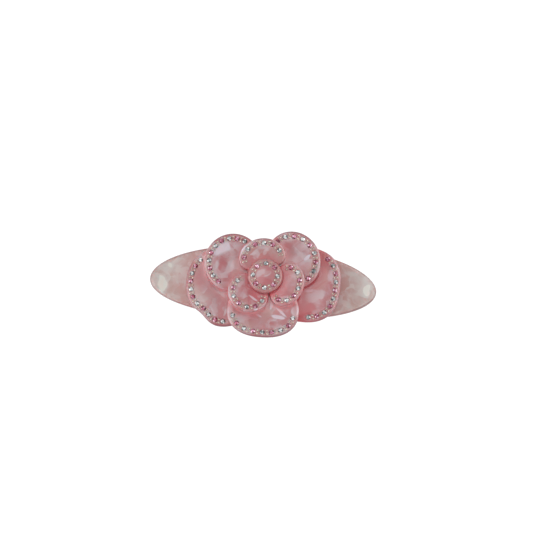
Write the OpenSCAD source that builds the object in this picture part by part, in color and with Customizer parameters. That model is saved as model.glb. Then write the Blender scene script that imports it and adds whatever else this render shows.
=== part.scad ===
// Flower hair barrette. Layered petals with rows of small round stones are
// cemented to an arched oval plate, and a sprung clip is riveted under it.
// X runs along the plate, Z rises through the flower, and Z = 0 is the flat
// underside of the closed clip arm. Sizes are in millimetres and degrees.

/* [Base plate] */
// Length of the plate from tip to tip
plate_l = 100; // [90:1:120]
// Width of the plate across its middle
plate_w = 32; // [26:0.5:44]
// Thickness of the plate
plate_t = 3.2; // [2.6:0.1:5]
// Radius of the arch that the plate's underside follows
arch_r = 150; // [135:5:220]

/* [Flower] */
// Place of the flower's axis along the plate, from its middle
flower_x = 0.9; // [-6:0.1:6]
// Place of the flower's axis across the plate, from its middle
flower_y = 1.1; // [-4:0.1:4]
// Thickness of a petal
petal_t = 2.2; // [1.8:0.1:3]
// Rounding along the edge of a petal
petal_edge = 0.7; // [0.2:0.1:0.85]
// Thickness of the cement between two layers
cement = 0.1; // [0.05:0.05:0.4]
// Gap between two petals of one layer
petal_gap = 0.3; // [0.2:0.1:1]
// Radius of the flat hub on which the layers are cemented
hub_r = 4; // [2:0.5:8]
// Where the cup of a petal is highest, as a part of the way to its edge
cup_peak_ratio = 0.88; // [0.7:0.01:1]
// Number of sides of a petal's outline
petal_sides = 40; // [24:4:48]

/* [Lower layer] */
// Rise of a lower petal for each millimetre outwards
lower_slope = 0; // [0:0.01:0.1]
// Depth of the cup of a lower petal
lower_cup = 2.2; // [0.5:0.1:2.6]
// Distance from the flower's axis to the root of a lower petal
lower_root = 1; // [0.5:0.1:4]
// Distance from the flower's axis to the middle of the lower left petal
lower_left_reach = 18.4; // [16:0.1:22]
// Bearing of the lower left petal
lower_left_bearing = 194; // [185:0.5:205]
// Length of the lower left petal outwards from its middle
lower_left_out = 16.2; // [12:0.1:20]
// Half of the lower left petal's width
lower_left_half = 17.6; // [12:0.1:20]
// Squareness of the lower left petal's outline, where 2 is round
lower_left_squareness = 2.2; // [1.8:0.1:3]
// Depth of the notch in the lower left petal's edge, as a part of its reach
notch_ratio = 0.12; // [0:0.01:0.2]
// Bearing of that notch from the petal's heading
notch_bearing = 41; // [-60:1:60]
// Half width of that notch
notch_half_angle = 20; // [12:1:30]
// Bearing of the first stone from the lower left petal's heading
lower_left_first_bearing = -60; // [-110:1:110]
// Bearing of the last stone from the lower left petal's heading
lower_left_last_bearing = 79; // [-110:1:110]
// Number of large stones on the lower left petal
lower_left_stones = 11; // [5:1:12]
// Distance from the flower's axis to the middle of the lower right petal
lower_right_reach = 15.8; // [13:0.1:20]
// Bearing of the lower right petal
lower_right_bearing = -4; // [-15:0.5:8]
// Length of the lower right petal outwards from its middle
lower_right_out = 17; // [12:0.1:20]
// Half of the lower right petal's width
lower_right_half = 16.6; // [12:0.1:20]
// Squareness of the lower right petal's outline, where 2 is round
lower_right_squareness = 2.6; // [1.8:0.1:3]
// Bearing of the first stone from the lower right petal's heading
lower_right_first_bearing = 51; // [-110:1:110]
// Bearing of the last stone from the lower right petal's heading
lower_right_last_bearing = -71; // [-110:1:110]
// Number of large stones on the lower right petal
lower_right_stones = 10; // [5:1:12]

/* [Upper layer] */
// Rise of an upper petal for each millimetre outwards
upper_slope = 0.11; // [0.09:0.01:0.2]
// Depth of the cup of an upper petal
upper_cup = 2.2; // [1:0.1:3]
// Distance from the flower's axis to the root of an upper petal
upper_root = 3; // [2:0.1:5]
// Distance from the flower's axis to the middle of the upper left petal
upper_left_reach = 15.2; // [13:0.1:18]
// Bearing of the upper left petal
upper_left_bearing = 158.5; // [150:0.5:166]
// Length of the upper left petal outwards from its middle
upper_left_out = 12.5; // [9:0.1:15]
// Half of the upper left petal's width
upper_left_half = 12.6; // [9:0.1:15]
// Squareness of the upper left petal's outline, where 2 is round
upper_left_squareness = 2; // [1.8:0.1:3]
// Bearing of the first stone from the upper left petal's heading
upper_left_first_bearing = -93; // [-110:1:110]
// Bearing of the last stone from the upper left petal's heading
upper_left_last_bearing = 78; // [-110:1:110]
// Number of large stones on the upper left petal
upper_left_stones = 10; // [5:1:11]
// Distance from the flower's axis to the middle of the upper right petal
upper_right_reach = 14.3; // [12:0.1:17]
// Bearing of the upper right petal
upper_right_bearing = 36; // [28:0.5:44]
// Length of the upper right petal outwards from its middle
upper_right_out = 11.5; // [9:0.1:15]
// Half of the upper right petal's width
upper_right_half = 12.6; // [9:0.1:15]
// Squareness of the upper right petal's outline, where 2 is round
upper_right_squareness = 2; // [1.8:0.1:3]
// Bearing of the first stone from the upper right petal's heading
upper_right_first_bearing = 99; // [-110:1:110]
// Bearing of the last stone from the upper right petal's heading
upper_right_last_bearing = -84; // [-110:1:110]
// Number of large stones on the upper right petal
upper_right_stones = 9; // [5:1:10]
// Distance from the flower's axis to the middle of the bottom petal
bottom_reach = 14.5; // [12:0.1:17]
// Bearing of the bottom petal
bottom_bearing = 270; // [262:0.5:278]
// Length of the bottom petal outwards from its middle
bottom_out = 11.9; // [9:0.1:15]
// Half of the bottom petal's width
bottom_half = 15.4; // [10:0.1:18]
// Squareness of the bottom petal's outline, where 2 is round
bottom_squareness = 2.3; // [1.8:0.1:3]
// Bearing of the first stone from the bottom petal's heading
bottom_first_bearing = -77; // [-110:1:110]
// Bearing of the last stone from the bottom petal's heading
bottom_last_bearing = 79; // [-110:1:110]
// Number of large stones on the bottom petal
bottom_stones = 9; // [5:1:10]

/* [Inner layer] */
// Rise of an inner petal for each millimetre outwards
inner_slope = 0.2; // [0.15:0.01:0.3]
// Depth of the cup of an inner petal
inner_cup = 1.8; // [0.5:0.1:2.5]
// Distance from the flower's axis to the root of an inner petal
inner_root = 2; // [1:0.1:3]
// Squareness of the inner petals' outlines, where 2 is round
inner_squareness = 2; // [1.8:0.1:3]
// Distance from the flower's axis to the middle of the inner top petal
inner_top_reach = 8.4; // [7:0.1:11]
// Bearing of the inner top petal
inner_top_bearing = 102; // [94:0.5:110]
// Length of the inner top petal outwards from its middle
inner_top_out = 7.9; // [6:0.1:10]
// Half of the inner top petal's width
inner_top_half = 10.1; // [7:0.1:12]
// Bearing of the first stone from the inner top petal's heading
inner_top_first_bearing = 83; // [-110:1:110]
// Bearing of the last stone from the inner top petal's heading
inner_top_last_bearing = -78; // [-110:1:110]
// Number of large stones on the inner top petal
inner_top_stones = 6; // [3:1:7]
// Distance from the flower's axis to the middle of the inner left petal
inner_left_reach = 9.7; // [8:0.1:12]
// Bearing of the inner left petal
inner_left_bearing = 228; // [220:0.5:236]
// Length of the inner left petal outwards from its middle
inner_left_out = 8.9; // [6:0.1:11]
// Half of the inner left petal's width
inner_left_half = 9.1; // [7:0.1:12]
// Bearing of the first stone from the inner left petal's heading
inner_left_first_bearing = -90; // [-110:1:110]
// Bearing of the last stone from the inner left petal's heading
inner_left_last_bearing = 101; // [-110:1:110]
// Number of large stones on the inner left petal
inner_left_stones = 7; // [3:1:8]
// Distance from the flower's axis to the middle of the inner right petal
inner_right_reach = 9.6; // [8:0.1:12]
// Bearing of the inner right petal
inner_right_bearing = -17.5; // [-26:0.5:-10]
// Length of the inner right petal outwards from its middle
inner_right_out = 7.6; // [6:0.1:10]
// Half of the inner right petal's width
inner_right_half = 9.7; // [7:0.1:12]
// Bearing of the first stone from the inner right petal's heading
inner_right_first_bearing = 95; // [-110:1:110]
// Bearing of the last stone from the inner right petal's heading
inner_right_last_bearing = -95; // [-110:1:110]
// Number of large stones on the inner right petal
inner_right_stones = 7; // [3:1:8]

/* [Flower centre] */
// Radius of the domed centre
centre_r = 7.5; // [6.5:0.1:9]
// Height of the centre above the cement at the axis
centre_h = 4.2; // [3.6:0.1:6]
// Fall of the dome from its crown to its edge
centre_fall = 1.4; // [0.5:0.1:1.8]
// Radius of the ring of stones on the centre
centre_ring = 5.35; // [4.4:0.05:6]
// Number of large stones on the centre
centre_stones = 8; // [4:2:8]

/* [Stones] */
// Diameter of a large stone
stone_d = 1.95; // [1.5:0.05:2.2]
// Height of a large stone's crown above the petal
stone_crown = 0.4; // [0.2:0.05:0.8]
// Depth of a large stone's seat
stone_depth = 0.85; // [0.5:0.05:1.2]
// Diameter of a seed stone
seed_d = 0.8; // [0.6:0.05:0.9]
// Height of a seed stone's crown above the petal
seed_crown = 0.2; // [0.1:0.05:0.4]
// Depth of a seed stone's seat
seed_depth = 0.4; // [0.3:0.05:0.8]
// Distance of a row of stones from the petal's edge
row_inset = 2.2; // [1.6:0.1:3]
// Distance of a seed stone from the line of its row
seed_offset = 0.72; // [0.6:0.02:0.85]
// Clearance round a stone in its seat
seat_clear = 0.04; // [0.02:0.01:0.1]

/* [Clip bar] */
// Height of the bar's underside at its middle above the arm's underside
bar_rise = 10.4; // [10:0.1:14]
// Width of the bar
bar_w = 8.4; // [8:0.1:10]
// Thickness of the bar
bar_t = 1; // [0.8:0.1:1.4]
// Distance of each rivet from the middle of the bar
rivet_x = 18; // [12:0.5:24]
// Diameter of a rivet's shank
rivet_d = 2; // [1.5:0.1:2.5]
// Diameter of a rivet's head
rivet_head_d = 3.4; // [3:0.1:4.5]
// Thickness of a rivet's head
rivet_head_t = 0.6; // [0.4:0.1:1]
// Depth of a rivet's shank in the plate
rivet_depth = 1.6; // [1:0.1:2]
// Clearance round a rivet's shank
rivet_clear = 0.05; // [0.02:0.01:0.1]

/* [Hinge] */
// Distance of the hinge pin from the middle
hinge_x = 36.5; // [34:0.5:38]
// Height of the hinge pin's axis
hinge_z = 2; // [1.9:0.1:2.4]
// Diameter of the hinge pin
pin_d = 1.5; // [1.2:0.1:1.6]
// Clearance round the hinge pin
pin_clear = 0.05; // [0.03:0.01:0.1]
// Diameter of the pin's upset heads
pin_head_d = 2.6; // [2:0.1:3]
// Thickness of the pin's upset heads
pin_head_t = 0.5; // [0.3:0.1:0.8]
// Thickness of an ear on the bar
ear_t = 0.8; // [0.6:0.1:0.9]
// Diameter of an ear round the pin
ear_d = 3.4; // [3:0.1:3.6]
// Gap between an ear and the arm
ear_gap = 0.1; // [0.05:0.05:0.3]

/* [Clip arm] */
// Thickness of the arm's sheet
sheet_t = 0.6; // [0.5:0.05:0.7]
// Height of the arm's side flanges
flange_h = 1.75; // [1.7:0.05:2.2]
// Diameter of the arm's lugs round the pin
lug_d = 3.2; // [2.8:0.1:3.4]
// Height of the tongue's underside
tongue_z = 2.2; // [2:0.1:2.4]
// Length of the step up to the tongue
step_l = 2; // [1.5:0.1:3]
// Length of the tongue before the window
tongue_lead = 1.7; // [1:0.1:2.5]
// Length of the tongue past the window
tongue_tail = 1.6; // [1.2:0.1:2]
// Gap between a prong and the ends of the window
window_gap = 0.5; // [0.3:0.1:0.8]
// Half of the window's width
window_half = 2.4; // [2.3:0.05:2.5]
// Width of each lip that holds the bow's end
lip_w = 1; // [0.8:0.1:1.4]
// Length of each lip
lip_l = 2.2; // [1.5:0.1:2.5]

/* [Tension bow] */
// Width of the bow
bow_w = 4.4; // [4:0.1:4.8]
// Thickness of the bow
bow_t = 0.4; // [0.3:0.05:0.45]
// Rise of the bow over its chord
bow_rise = 3; // [2:0.1:3.4]
// Length of the bow's flat end
bow_foot = 3; // [2.8:0.1:4]
// Clearance under and over the bow's flat end
bow_clear = 0.05; // [0.03:0.01:0.1]

/* [Catch] */
// Distance of the prongs from the middle
catch_x = 36.5; // [35:0.5:37]
// Width of a prong along the bar
prong_w = 3.6; // [3:0.1:4.2]
// Thickness of a prong
prong_t = 0.6; // [0.5:0.05:0.7]
// Distance of a prong's mid plane from the middle
prong_y = 1.8; // [1.7:0.05:1.9]
// Height of the bead from which a prong flexes
prong_z = 4.2; // [4:0.05:4.3]
// Gap between a prong's bead and the catch block
bead_gap = 0.05; // [0.03:0.01:0.1]
// Height of a prong's lower tip
prong_tip = 0.6; // [0.4:0.1:0.8]
// How far a prong's barb stands out
barb_out = 0.65; // [0.5:0.05:0.7]
// Height of a barb's upright edge
barb_edge = 0.3; // [0.2:0.05:0.5]
// Play between a barb and the tongue
latch_play = 0.1; // [0.05:0.05:0.2]
// Gap between a prong's rail and the tongue
rail_gap = 0.15; // [0.12:0.01:0.3]
// Height of a prong's rail
rail_h = 0.9; // [0.6:0.1:1.1]
// Gap between the tongue's end and a finger tab
tab_gap = 0.7; // [0.5:0.1:1.2]
// Length of a finger tab
tab_l = 4.6; // [3.5:0.1:5]
// Angle by which a finger tab flares outwards
tab_angle = 32; // [20:1:40]

/* [Hidden] */
$fn = 48;
ARC_FN = 720;
OVAL_SIDES = 144;
EPS = 0.01;
OVERCUT = 2;

ACETATE = "#bd8f92";
ACETATE_PALE = "#c4afad";
CRYSTAL = "#d9d9de";
ROSE = "#a8486a";
SEED = "#e6ddcf";
STEEL = "#c2c2c4";
BRIGHT_STEEL = "#d4d4d6";

// Arch: the bar's top and the plate's underside share one circle
plate_z = bar_rise + bar_t;
plate_top_z = plate_z + plate_t;
arch_z = plate_z - arch_r;
top_r = arch_r + plate_t;
function plate_top(x) = arch_z + sqrt(top_r * top_r - x * x);

// How far the hollow of the bar's underside stands off the middle of a rivet's head
head_sag = rivet_head_d * rivet_head_d / (8 * (arch_r - bar_t)) + EPS;

// Hinge and clip places
pin_bore_d = pin_d + 2 * pin_clear;
arm_w = bar_w - 2 * (ear_t + ear_gap);
arm_tail_x = -hinge_x - lug_d / 2;
window_l = prong_w + 2 * window_gap;
tongue_end_x = catch_x + window_l / 2 + tongue_tail;
step_end_x = catch_x - window_l / 2 - tongue_lead;
step_x = step_end_x - step_l;
bow_foot_z = sheet_t + bow_clear;
lip_z = bow_foot_z + bow_t + bow_clear;
eye_r = pin_bore_d / 2 + bow_t;
bow_end_x = step_x - bow_foot - bow_clear;
block_z = prong_z + prong_t / 2 + bead_gap;
rail_z = tongue_z + sheet_t + rail_gap;
tab_x = tongue_end_x + tab_gap;

// Petals: layer, reach, bearing, out, half width, squareness, bearings of the
// first and last stone from the heading, number of stones, starts with rose
LOWER_LEFT = [
    0, lower_left_reach, lower_left_bearing, lower_left_out, lower_left_half,
    lower_left_squareness, lower_left_first_bearing, lower_left_last_bearing, lower_left_stones, false
];
LOWER_RIGHT = [
    0, lower_right_reach, lower_right_bearing, lower_right_out, lower_right_half,
    lower_right_squareness, lower_right_first_bearing, lower_right_last_bearing, lower_right_stones, true
];
UPPER_LEFT = [
    1, upper_left_reach, upper_left_bearing, upper_left_out, upper_left_half,
    upper_left_squareness, upper_left_first_bearing, upper_left_last_bearing, upper_left_stones, false
];
UPPER_RIGHT = [
    1, upper_right_reach, upper_right_bearing, upper_right_out, upper_right_half,
    upper_right_squareness, upper_right_first_bearing, upper_right_last_bearing, upper_right_stones, true
];
BOTTOM = [
    1, bottom_reach, bottom_bearing, bottom_out, bottom_half,
    bottom_squareness, bottom_first_bearing, bottom_last_bearing, bottom_stones, false
];
INNER_TOP = [
    2, inner_top_reach, inner_top_bearing, inner_top_out, inner_top_half,
    inner_squareness, inner_top_first_bearing, inner_top_last_bearing, inner_top_stones, true
];
INNER_LEFT = [
    2, inner_left_reach, inner_left_bearing, inner_left_out, inner_left_half,
    inner_squareness, inner_left_first_bearing, inner_left_last_bearing, inner_left_stones, false
];
INNER_RIGHT = [
    2, inner_right_reach, inner_right_bearing, inner_right_out, inner_right_half,
    inner_squareness, inner_right_first_bearing, inner_right_last_bearing, inner_right_stones, true
];

function layer(p) = p[0];
function reach(p) = p[1];
function bearing(p) = p[2];
function outward(p) = p[3];
function half_width(p) = p[4];
function squareness(p) = p[5];
function first_stone(p) = p[6];
function last_stone(p) = p[7];
function stone_count(p) = p[8];
function is_rose(p, k) = (k % 2 == 0) == p[9];

// Each layer's petals in order round the axis, its slope, cup and root
LAYERS = [
    [LOWER_RIGHT, LOWER_LEFT],
    [UPPER_RIGHT, UPPER_LEFT, BOTTOM],
    [INNER_RIGHT, INNER_TOP, INNER_LEFT]
];
SLOPES = [lower_slope, upper_slope, inner_slope];
CUPS = [lower_cup, upper_cup, inner_cup];
ROOTS = [lower_root, upper_root, inner_root];

// Height of the underside of a layer at the axis, over the plate
function layer_z(k) = cement + k * (petal_t + cement);

// Rise of a layer at a distance from the axis: flat on the hub, then a cone
function lift(k, d) = SLOPES[k] * d * d / (d + hub_r);

function wrap(a) = a - 360 * floor((a + 180) / 360);

function place(p) = [flower_x, flower_y] + reach(p) * [cos(bearing(p)), sin(bearing(p))];

// Angles from a petal to the lines midway to its neighbours, left and right
function mid_left(p) = min([
    for (q = LAYERS[layer(p)]) if (bearing(q) != bearing(p)) (wrap(bearing(q) - bearing(p)) + 360) % 360
]) / 2;
function mid_right(p) = -min([
    for (q = LAYERS[layer(p)]) if (bearing(q) != bearing(p)) (wrap(bearing(p) - bearing(q)) + 360) % 360
]) / 2;

// Room from a petal's middle along angle a before it meets such a line
function room(p, a, mid, side) =
    let(toward = side * sin(a - mid))
    toward < EPS ? 1 / EPS : (side * reach(p) * sin(mid) - petal_gap / 2) / toward;

// Depth of the lower left petal's notch at angle a, as a part of its reach
function notch(p, a) =
    p == LOWER_LEFT
    ? notch_ratio * exp(-pow(wrap(a - notch_bearing) / notch_half_angle, 2))
    : 0;

// Outline of a petal: radius from its middle at angle a from its heading
function rim(p, a) =
    let(
        n = squareness(p),
        l = cos(a) > 0 ? outward(p) : reach(p) - ROOTS[layer(p)],
        r = pow(pow(abs(cos(a)) / l, n) + pow(abs(sin(a)) / half_width(p), n), -1 / n)
    )
    min(r * (1 - notch(p, a)), room(p, a, mid_left(p), 1), room(p, a, mid_right(p), -1));

// Cup of a petal at part u of the way to its edge, fading towards the root
function cup(p, a, u) = CUPS[layer(p)] * pow(sin(90 * u / cup_peak_ratio), 2) * pow(cos(wrap(a) / 2), 4);

// Point on a petal's upper face at angle a and part u of the way to its edge
function top_point(p, a, u) =
    let(
        c = place(p),
        r = rim(p, a) * u,
        x = c.x + r * cos(a + bearing(p)),
        y = c.y + r * sin(a + bearing(p)),
        d = norm([x - flower_x, y - flower_y]),
        k = layer(p)
    )
    [x, y, plate_top(x) + layer_z(k) + petal_t + lift(k, d) + cup(p, a, u)];

// Where a stone sits: its point and the outward normal of the petal there,
// from two short steps on the petal, across the row and along it
NUDGE = stone_d / 10;
NUDGE_A = 1;
function inset_point(p, a, inset) = top_point(p, a, 1 - inset / rim(p, a));
function seat(p, a, inset) =
    let(
        across = inset_point(p, a, inset - NUDGE) - inset_point(p, a, inset + NUDGE),
        along = inset_point(p, a + NUDGE_A, inset) - inset_point(p, a - NUDGE_A, inset),
        n = cross(across, along)
    )
    [inset_point(p, a, inset), n / norm(n)];

// Bearings along a row, read by its length in steps from stone to stone
ROW_STEPS = 48;
function row_table(p) =
    let(
        angles = [
            for (i = [0:ROW_STEPS])
                first_stone(p) + (last_stone(p) - first_stone(p)) * i / ROW_STEPS
        ],
        points = [for (a = angles) inset_point(p, a, row_inset)],
        gaps = [for (i = [1:ROW_STEPS]) norm(points[i] - points[i - 1])],
        lengths = [for (i = 0, t = 0; i <= ROW_STEPS; t = t + (gaps[i] ? gaps[i] : 0), i = i + 1) t]
    )
    [for (i = [0:ROW_STEPS]) [lengths[i] / lengths[ROW_STEPS] * (stone_count(p) - 1), angles[i]]];
function row_bearing(table, s, last) =
    s < 0 ? 2 * lookup(0, table) - lookup(-s, table)
    : s > last ? 2 * lookup(last, table) - lookup(2 * last - s, table)
    : lookup(s, table);

// Large stones lie at whole steps and pairs of seed stones halfway between.
// The rows of the inner petals also end in a pair.
function stone_seats(p, rose) =
    let(table = row_table(p), last = stone_count(p) - 1)
    [
        for (k = [0:last])
            if (is_rose(p, k) == rose)
                seat(p, row_bearing(table, k, last), row_inset)
    ];
function seed_seats(p) =
    let(table = row_table(p), last = stone_count(p) - 1, ends = layer(p) == 2 ? 1 : 0)
    [
        for (k = [-ends:last - 1 + ends], side = [-1, 1])
            seat(p, row_bearing(table, k + 0.5, last), row_inset + side * seed_offset)
    ];

// The centre's dome is part of a sphere about a point on the axis
centre_z = plate_top(flower_x) + layer_z(3);
dome_r = (centre_r * centre_r + centre_fall * centre_fall) / (2 * centre_fall);
dome_z = centre_h - dome_r;
function dome_seat(a, r) =
    let(n = [r * cos(a), r * sin(a), sqrt(dome_r * dome_r - r * r)] / dome_r)
    [[flower_x, flower_y, centre_z + dome_z] + dome_r * n, n];
centre_step = 360 / centre_stones;
function centre_seats(rose) = [
    for (k = [0:centre_stones - 1])
        if ((k % 2 == 1) == rose)
            dome_seat(90 - k * centre_step, centre_ring)
];
centre_seeds = [
    for (k = [0:centre_stones - 1], side = [-1, 1])
        dome_seat(90 - (k + 0.5) * centre_step, centre_ring + side * seed_offset)
];

PLACES = [
    "lower_left", "lower_right", "upper_left", "upper_right", "bottom",
    "inner_top", "inner_left", "inner_right", "centre"
];

// Carries a profile drawn in X and Z along Y
module along_y(w) {
    rotate([90, 0, 0])
        linear_extrude(w, center = true)
            children();
}

module both_sides(y) {
    for (side = [-1, 1])
        translate([0, side * y, 0])
            children();
}

// Part of the arch between two radii, from x0 to x1
module arch_band(inner, outer, x0, x1) {
    intersection() {
        translate([0, arch_z])
            difference() {
                circle(outer, $fn = ARC_FN);
                circle(inner, $fn = ARC_FN);
            }
        translate([x0, 0])
            square([x1 - x0, plate_top_z + OVERCUT]);
    }
}

// Everything below the middle of the bar, to trim what hangs from it
module under_bar() {
    translate([0, arch_z])
        circle(arch_r - bar_t / 2, $fn = ARC_FN);
}

// Stands children at each rivet, square to the arch at the bar's underside
module at_rivets() {
    for (side = [-1, 1])
        translate([0, 0, arch_z])
            rotate([0, side * asin(rivet_x / arch_r), 0])
                translate([0, 0, arch_r - bar_t])
                    children();
}

module at_seats(seats) {
    for (s = seats)
        translate(s[0])
            rotate([0, acos(s[1].z), atan2(s[1].y, s[1].x)])
                children();
}

// A round cut stone: flat table, crown, girdle, short pavilion
TABLE = 0.58;
CULET = 0.5;
GIRDLE = 0.2;
module stone(d, crown, depth) {
    rotate_extrude()
        polygon([
            [0, -depth],
            [d / 2 * CULET, -depth],
            [d / 2, -depth * GIRDLE],
            [d / 2, 0],
            [d / 2 * TABLE, crown],
            [0, crown]
        ]);
}

module seat_bore(d, depth) {
    translate([0, 0, -depth])
        cylinder(d = d + 2 * seat_clear, h = depth + d);
}

// A petal as rings from its middle over the edge and back underneath
UPPER_RINGS = [0.25, 0.45, 0.62, 0.76, 0.88];
module petal(p) {
    n = petal_sides;
    angles = [for (i = [0:n - 1]) i * 360 / n];
    drop = [0, 0, -petal_t];
    edge = [0, 0, petal_edge];
    upper = [
        for (u = UPPER_RINGS) [for (a = angles) top_point(p, a, u)],
        [for (a = angles) top_point(p, a, 1 - petal_edge / rim(p, a))]
    ];
    side = [for (a = angles) top_point(p, a, 1)];
    m = len(upper);
    rings = concat(
        upper,
        [[for (q = side) q - edge], [for (q = side) q + drop + edge]],
        [for (i = [m - 1:-1:0]) [for (q = upper[i]) q + drop]]
    );
    middle = top_point(p, 0, 0);
    last = len(rings) - 1;
    points = concat([for (r = rings) each r], [middle, middle + drop]);
    faces = concat(
        [for (i = [0:n - 1]) [len(points) - 2, (i + 1) % n, i]],
        [
            for (j = [0:last - 1], i = [0:n - 1])
                [j * n + i, j * n + (i + 1) % n, (j + 1) * n + (i + 1) % n]
        ],
        [
            for (j = [0:last - 1], i = [0:n - 1])
                [j * n + i, (j + 1) * n + (i + 1) % n, (j + 1) * n + i]
        ],
        [for (i = [0:n - 1]) [len(points) - 1, last * n + i, last * n + (i + 1) % n]]
    );
    color(ACETATE)
        difference() {
            polyhedron(points, faces);
            at_seats(concat(stone_seats(p, false), stone_seats(p, true)))
                seat_bore(stone_d, stone_depth);
            at_seats(seed_seats(p))
                seat_bore(seed_d, seed_depth);
        }
}

module crystals(seats) {
    color(CRYSTAL)
        at_seats(seats)
            stone(stone_d, stone_crown, stone_depth);
}

module rose_stones(seats) {
    color(ROSE)
        at_seats(seats)
            stone(stone_d, stone_crown, stone_depth);
}

module seed_stones(seats) {
    color(SEED)
        at_seats(seats)
            stone(seed_d, seed_crown, seed_depth);
}

module base_plate() {
    color(ACETATE_PALE)
        difference() {
            intersection() {
                along_y(plate_w + OVERCUT)
                    arch_band(arch_r, top_r, -plate_l / 2, plate_l / 2);
                linear_extrude(plate_top_z + OVERCUT)
                    polygon([
                        for (i = [0:OVAL_SIDES - 1])
                            let(a = i * 360 / OVAL_SIDES)
                                [plate_l / 2 * cos(a), plate_w / 2 * sin(a)]
                    ]);
            }
            at_rivets()
                cylinder(d = rivet_d + 2 * rivet_clear, h = bar_t + rivet_depth);
        }
}

// The centre's underside follows the inner petals and its top is a dome
CENTRE_STEPS = 6;
module flower_centre() {
    under = [for (i = [0:CENTRE_STEPS]) let(r = centre_r * i / CENTRE_STEPS) [r, lift(2, r)]];
    color(ACETATE)
        difference() {
            translate([flower_x, flower_y, centre_z])
                rotate_extrude()
                    intersection() {
                        polygon(concat(under, [[centre_r, centre_h], [0, centre_h]]));
                        translate([0, dome_z])
                            circle(dome_r, $fn = ARC_FN);
                    }
            at_seats(concat(centre_seats(false), centre_seats(true)))
                seat_bore(stone_d, stone_depth);
            at_seats(centre_seeds)
                seat_bore(seed_d, seed_depth);
        }
}

// The arched bar, with its hinge ears at one end and its catch block at the other
module clip_base() {
    block_w = 2 * prong_y + prong_t;
    color(STEEL)
        difference() {
            union() {
                along_y(bar_w)
                    arch_band(
                        arch_r - bar_t, arch_r,
                        -hinge_x - ear_d / 2, catch_x + window_l / 2
                    );
                both_sides(bar_w / 2 - ear_t / 2)
                    along_y(ear_t)
                        ear();
                along_y(block_w)
                    intersection() {
                        translate([catch_x - prong_w / 2, block_z])
                            square([prong_w, plate_z]);
                        under_bar();
                    }
            }
            translate([-hinge_x, 0, hinge_z])
                rotate([90, 0, 0])
                    cylinder(d = pin_bore_d, h = bar_w + OVERCUT, center = true);
            at_rivets()
                translate([0, 0, -OVERCUT])
                    cylinder(d = rivet_d + 2 * rivet_clear, h = bar_t + 2 * OVERCUT);
        }
}

module ear() {
    translate([-hinge_x, hinge_z])
        circle(d = ear_d);
    intersection() {
        translate([-hinge_x - ear_d / 2, hinge_z])
            square([ear_d, plate_z]);
        under_bar();
    }
}

// Each rivet's flat head bears on the hollow of the arch with two sides of its rim
module clip_rivets() {
    color(BRIGHT_STEEL)
        at_rivets() {
            translate([0, 0, -head_sag])
                cylinder(d = rivet_d, h = head_sag + bar_t + rivet_depth);
            translate([0, 0, -head_sag - rivet_head_t])
                cylinder(d = rivet_head_d, h = rivet_head_t);
        }
}

module hinge_pin() {
    color(BRIGHT_STEEL)
        translate([-hinge_x, 0, hinge_z])
            rotate([90, 0, 0]) {
                cylinder(d = pin_d, h = bar_w + 2 * pin_head_t, center = true);
                for (side = [-1, 1])
                    translate([0, 0, side * (bar_w + pin_head_t) / 2])
                        cylinder(d = pin_head_d, h = pin_head_t, center = true);
            }
}

// The swinging arm: a channel with lugs, a step up to the tongue and a window
module clip_arm() {
    color(STEEL)
        difference() {
            union() {
                along_y(arm_w)
                    polygon([
                        [arm_tail_x, 0],
                        [step_x, 0],
                        [step_end_x, tongue_z],
                        [tongue_end_x, tongue_z],
                        [tongue_end_x, tongue_z + sheet_t],
                        [step_end_x, tongue_z + sheet_t],
                        [step_x, sheet_t],
                        [arm_tail_x, sheet_t]
                    ]);
                both_sides(arm_w / 2 - sheet_t / 2)
                    along_y(sheet_t)
                        flange();
                both_sides(arm_w / 2 - sheet_t - lip_w / 2 + EPS)
                    translate([bow_end_x, 0, lip_z])
                        translate([0, -lip_w / 2, 0])
                            cube([lip_l, lip_w, flange_h - lip_z]);
            }
            translate([catch_x, 0, tongue_z])
                cube([window_l, 2 * window_half, sheet_t + OVERCUT], center = true);
            translate([-hinge_x, 0, hinge_z])
                rotate([90, 0, 0])
                    cylinder(d = pin_bore_d, h = arm_w + OVERCUT, center = true);
        }
}

module flange() {
    translate([arm_tail_x, 0])
        square([step_x - arm_tail_x, flange_h]);
    translate([arm_tail_x, 0])
        square([lug_d, hinge_z]);
    translate([-hinge_x, hinge_z])
        circle(d = lug_d);
}

// The sprung bow: an eye on the pin, an arc over the arm and a flat foot
module tension_bow() {
    start = [-hinge_x, hinge_z + eye_r - bow_t / 2];
    end = [bow_end_x, bow_foot_z + bow_t / 2];
    chord = norm(end - start);
    r = (chord * chord / 4 + bow_rise * bow_rise) / (2 * bow_rise);
    up = [start.y - end.y, end.x - start.x] / chord;
    hub = (start + end) / 2 + (bow_rise - r) * up;
    color(BRIGHT_STEEL)
        along_y(bow_w)
            difference() {
                union() {
                    translate([-hinge_x, hinge_z])
                        circle(eye_r);
                    intersection() {
                        translate(hub)
                            difference() {
                                circle(r + bow_t / 2, $fn = ARC_FN);
                                circle(r - bow_t / 2, $fn = ARC_FN);
                            }
                        translate([-hinge_x, bow_foot_z])
                            square([bow_end_x + hinge_x + bow_t, plate_z]);
                    }
                    translate([bow_end_x, bow_foot_z])
                        square([bow_foot, bow_t]);
                }
                translate([-hinge_x, hinge_z])
                    circle(d = pin_bore_d);
            }
}

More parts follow.
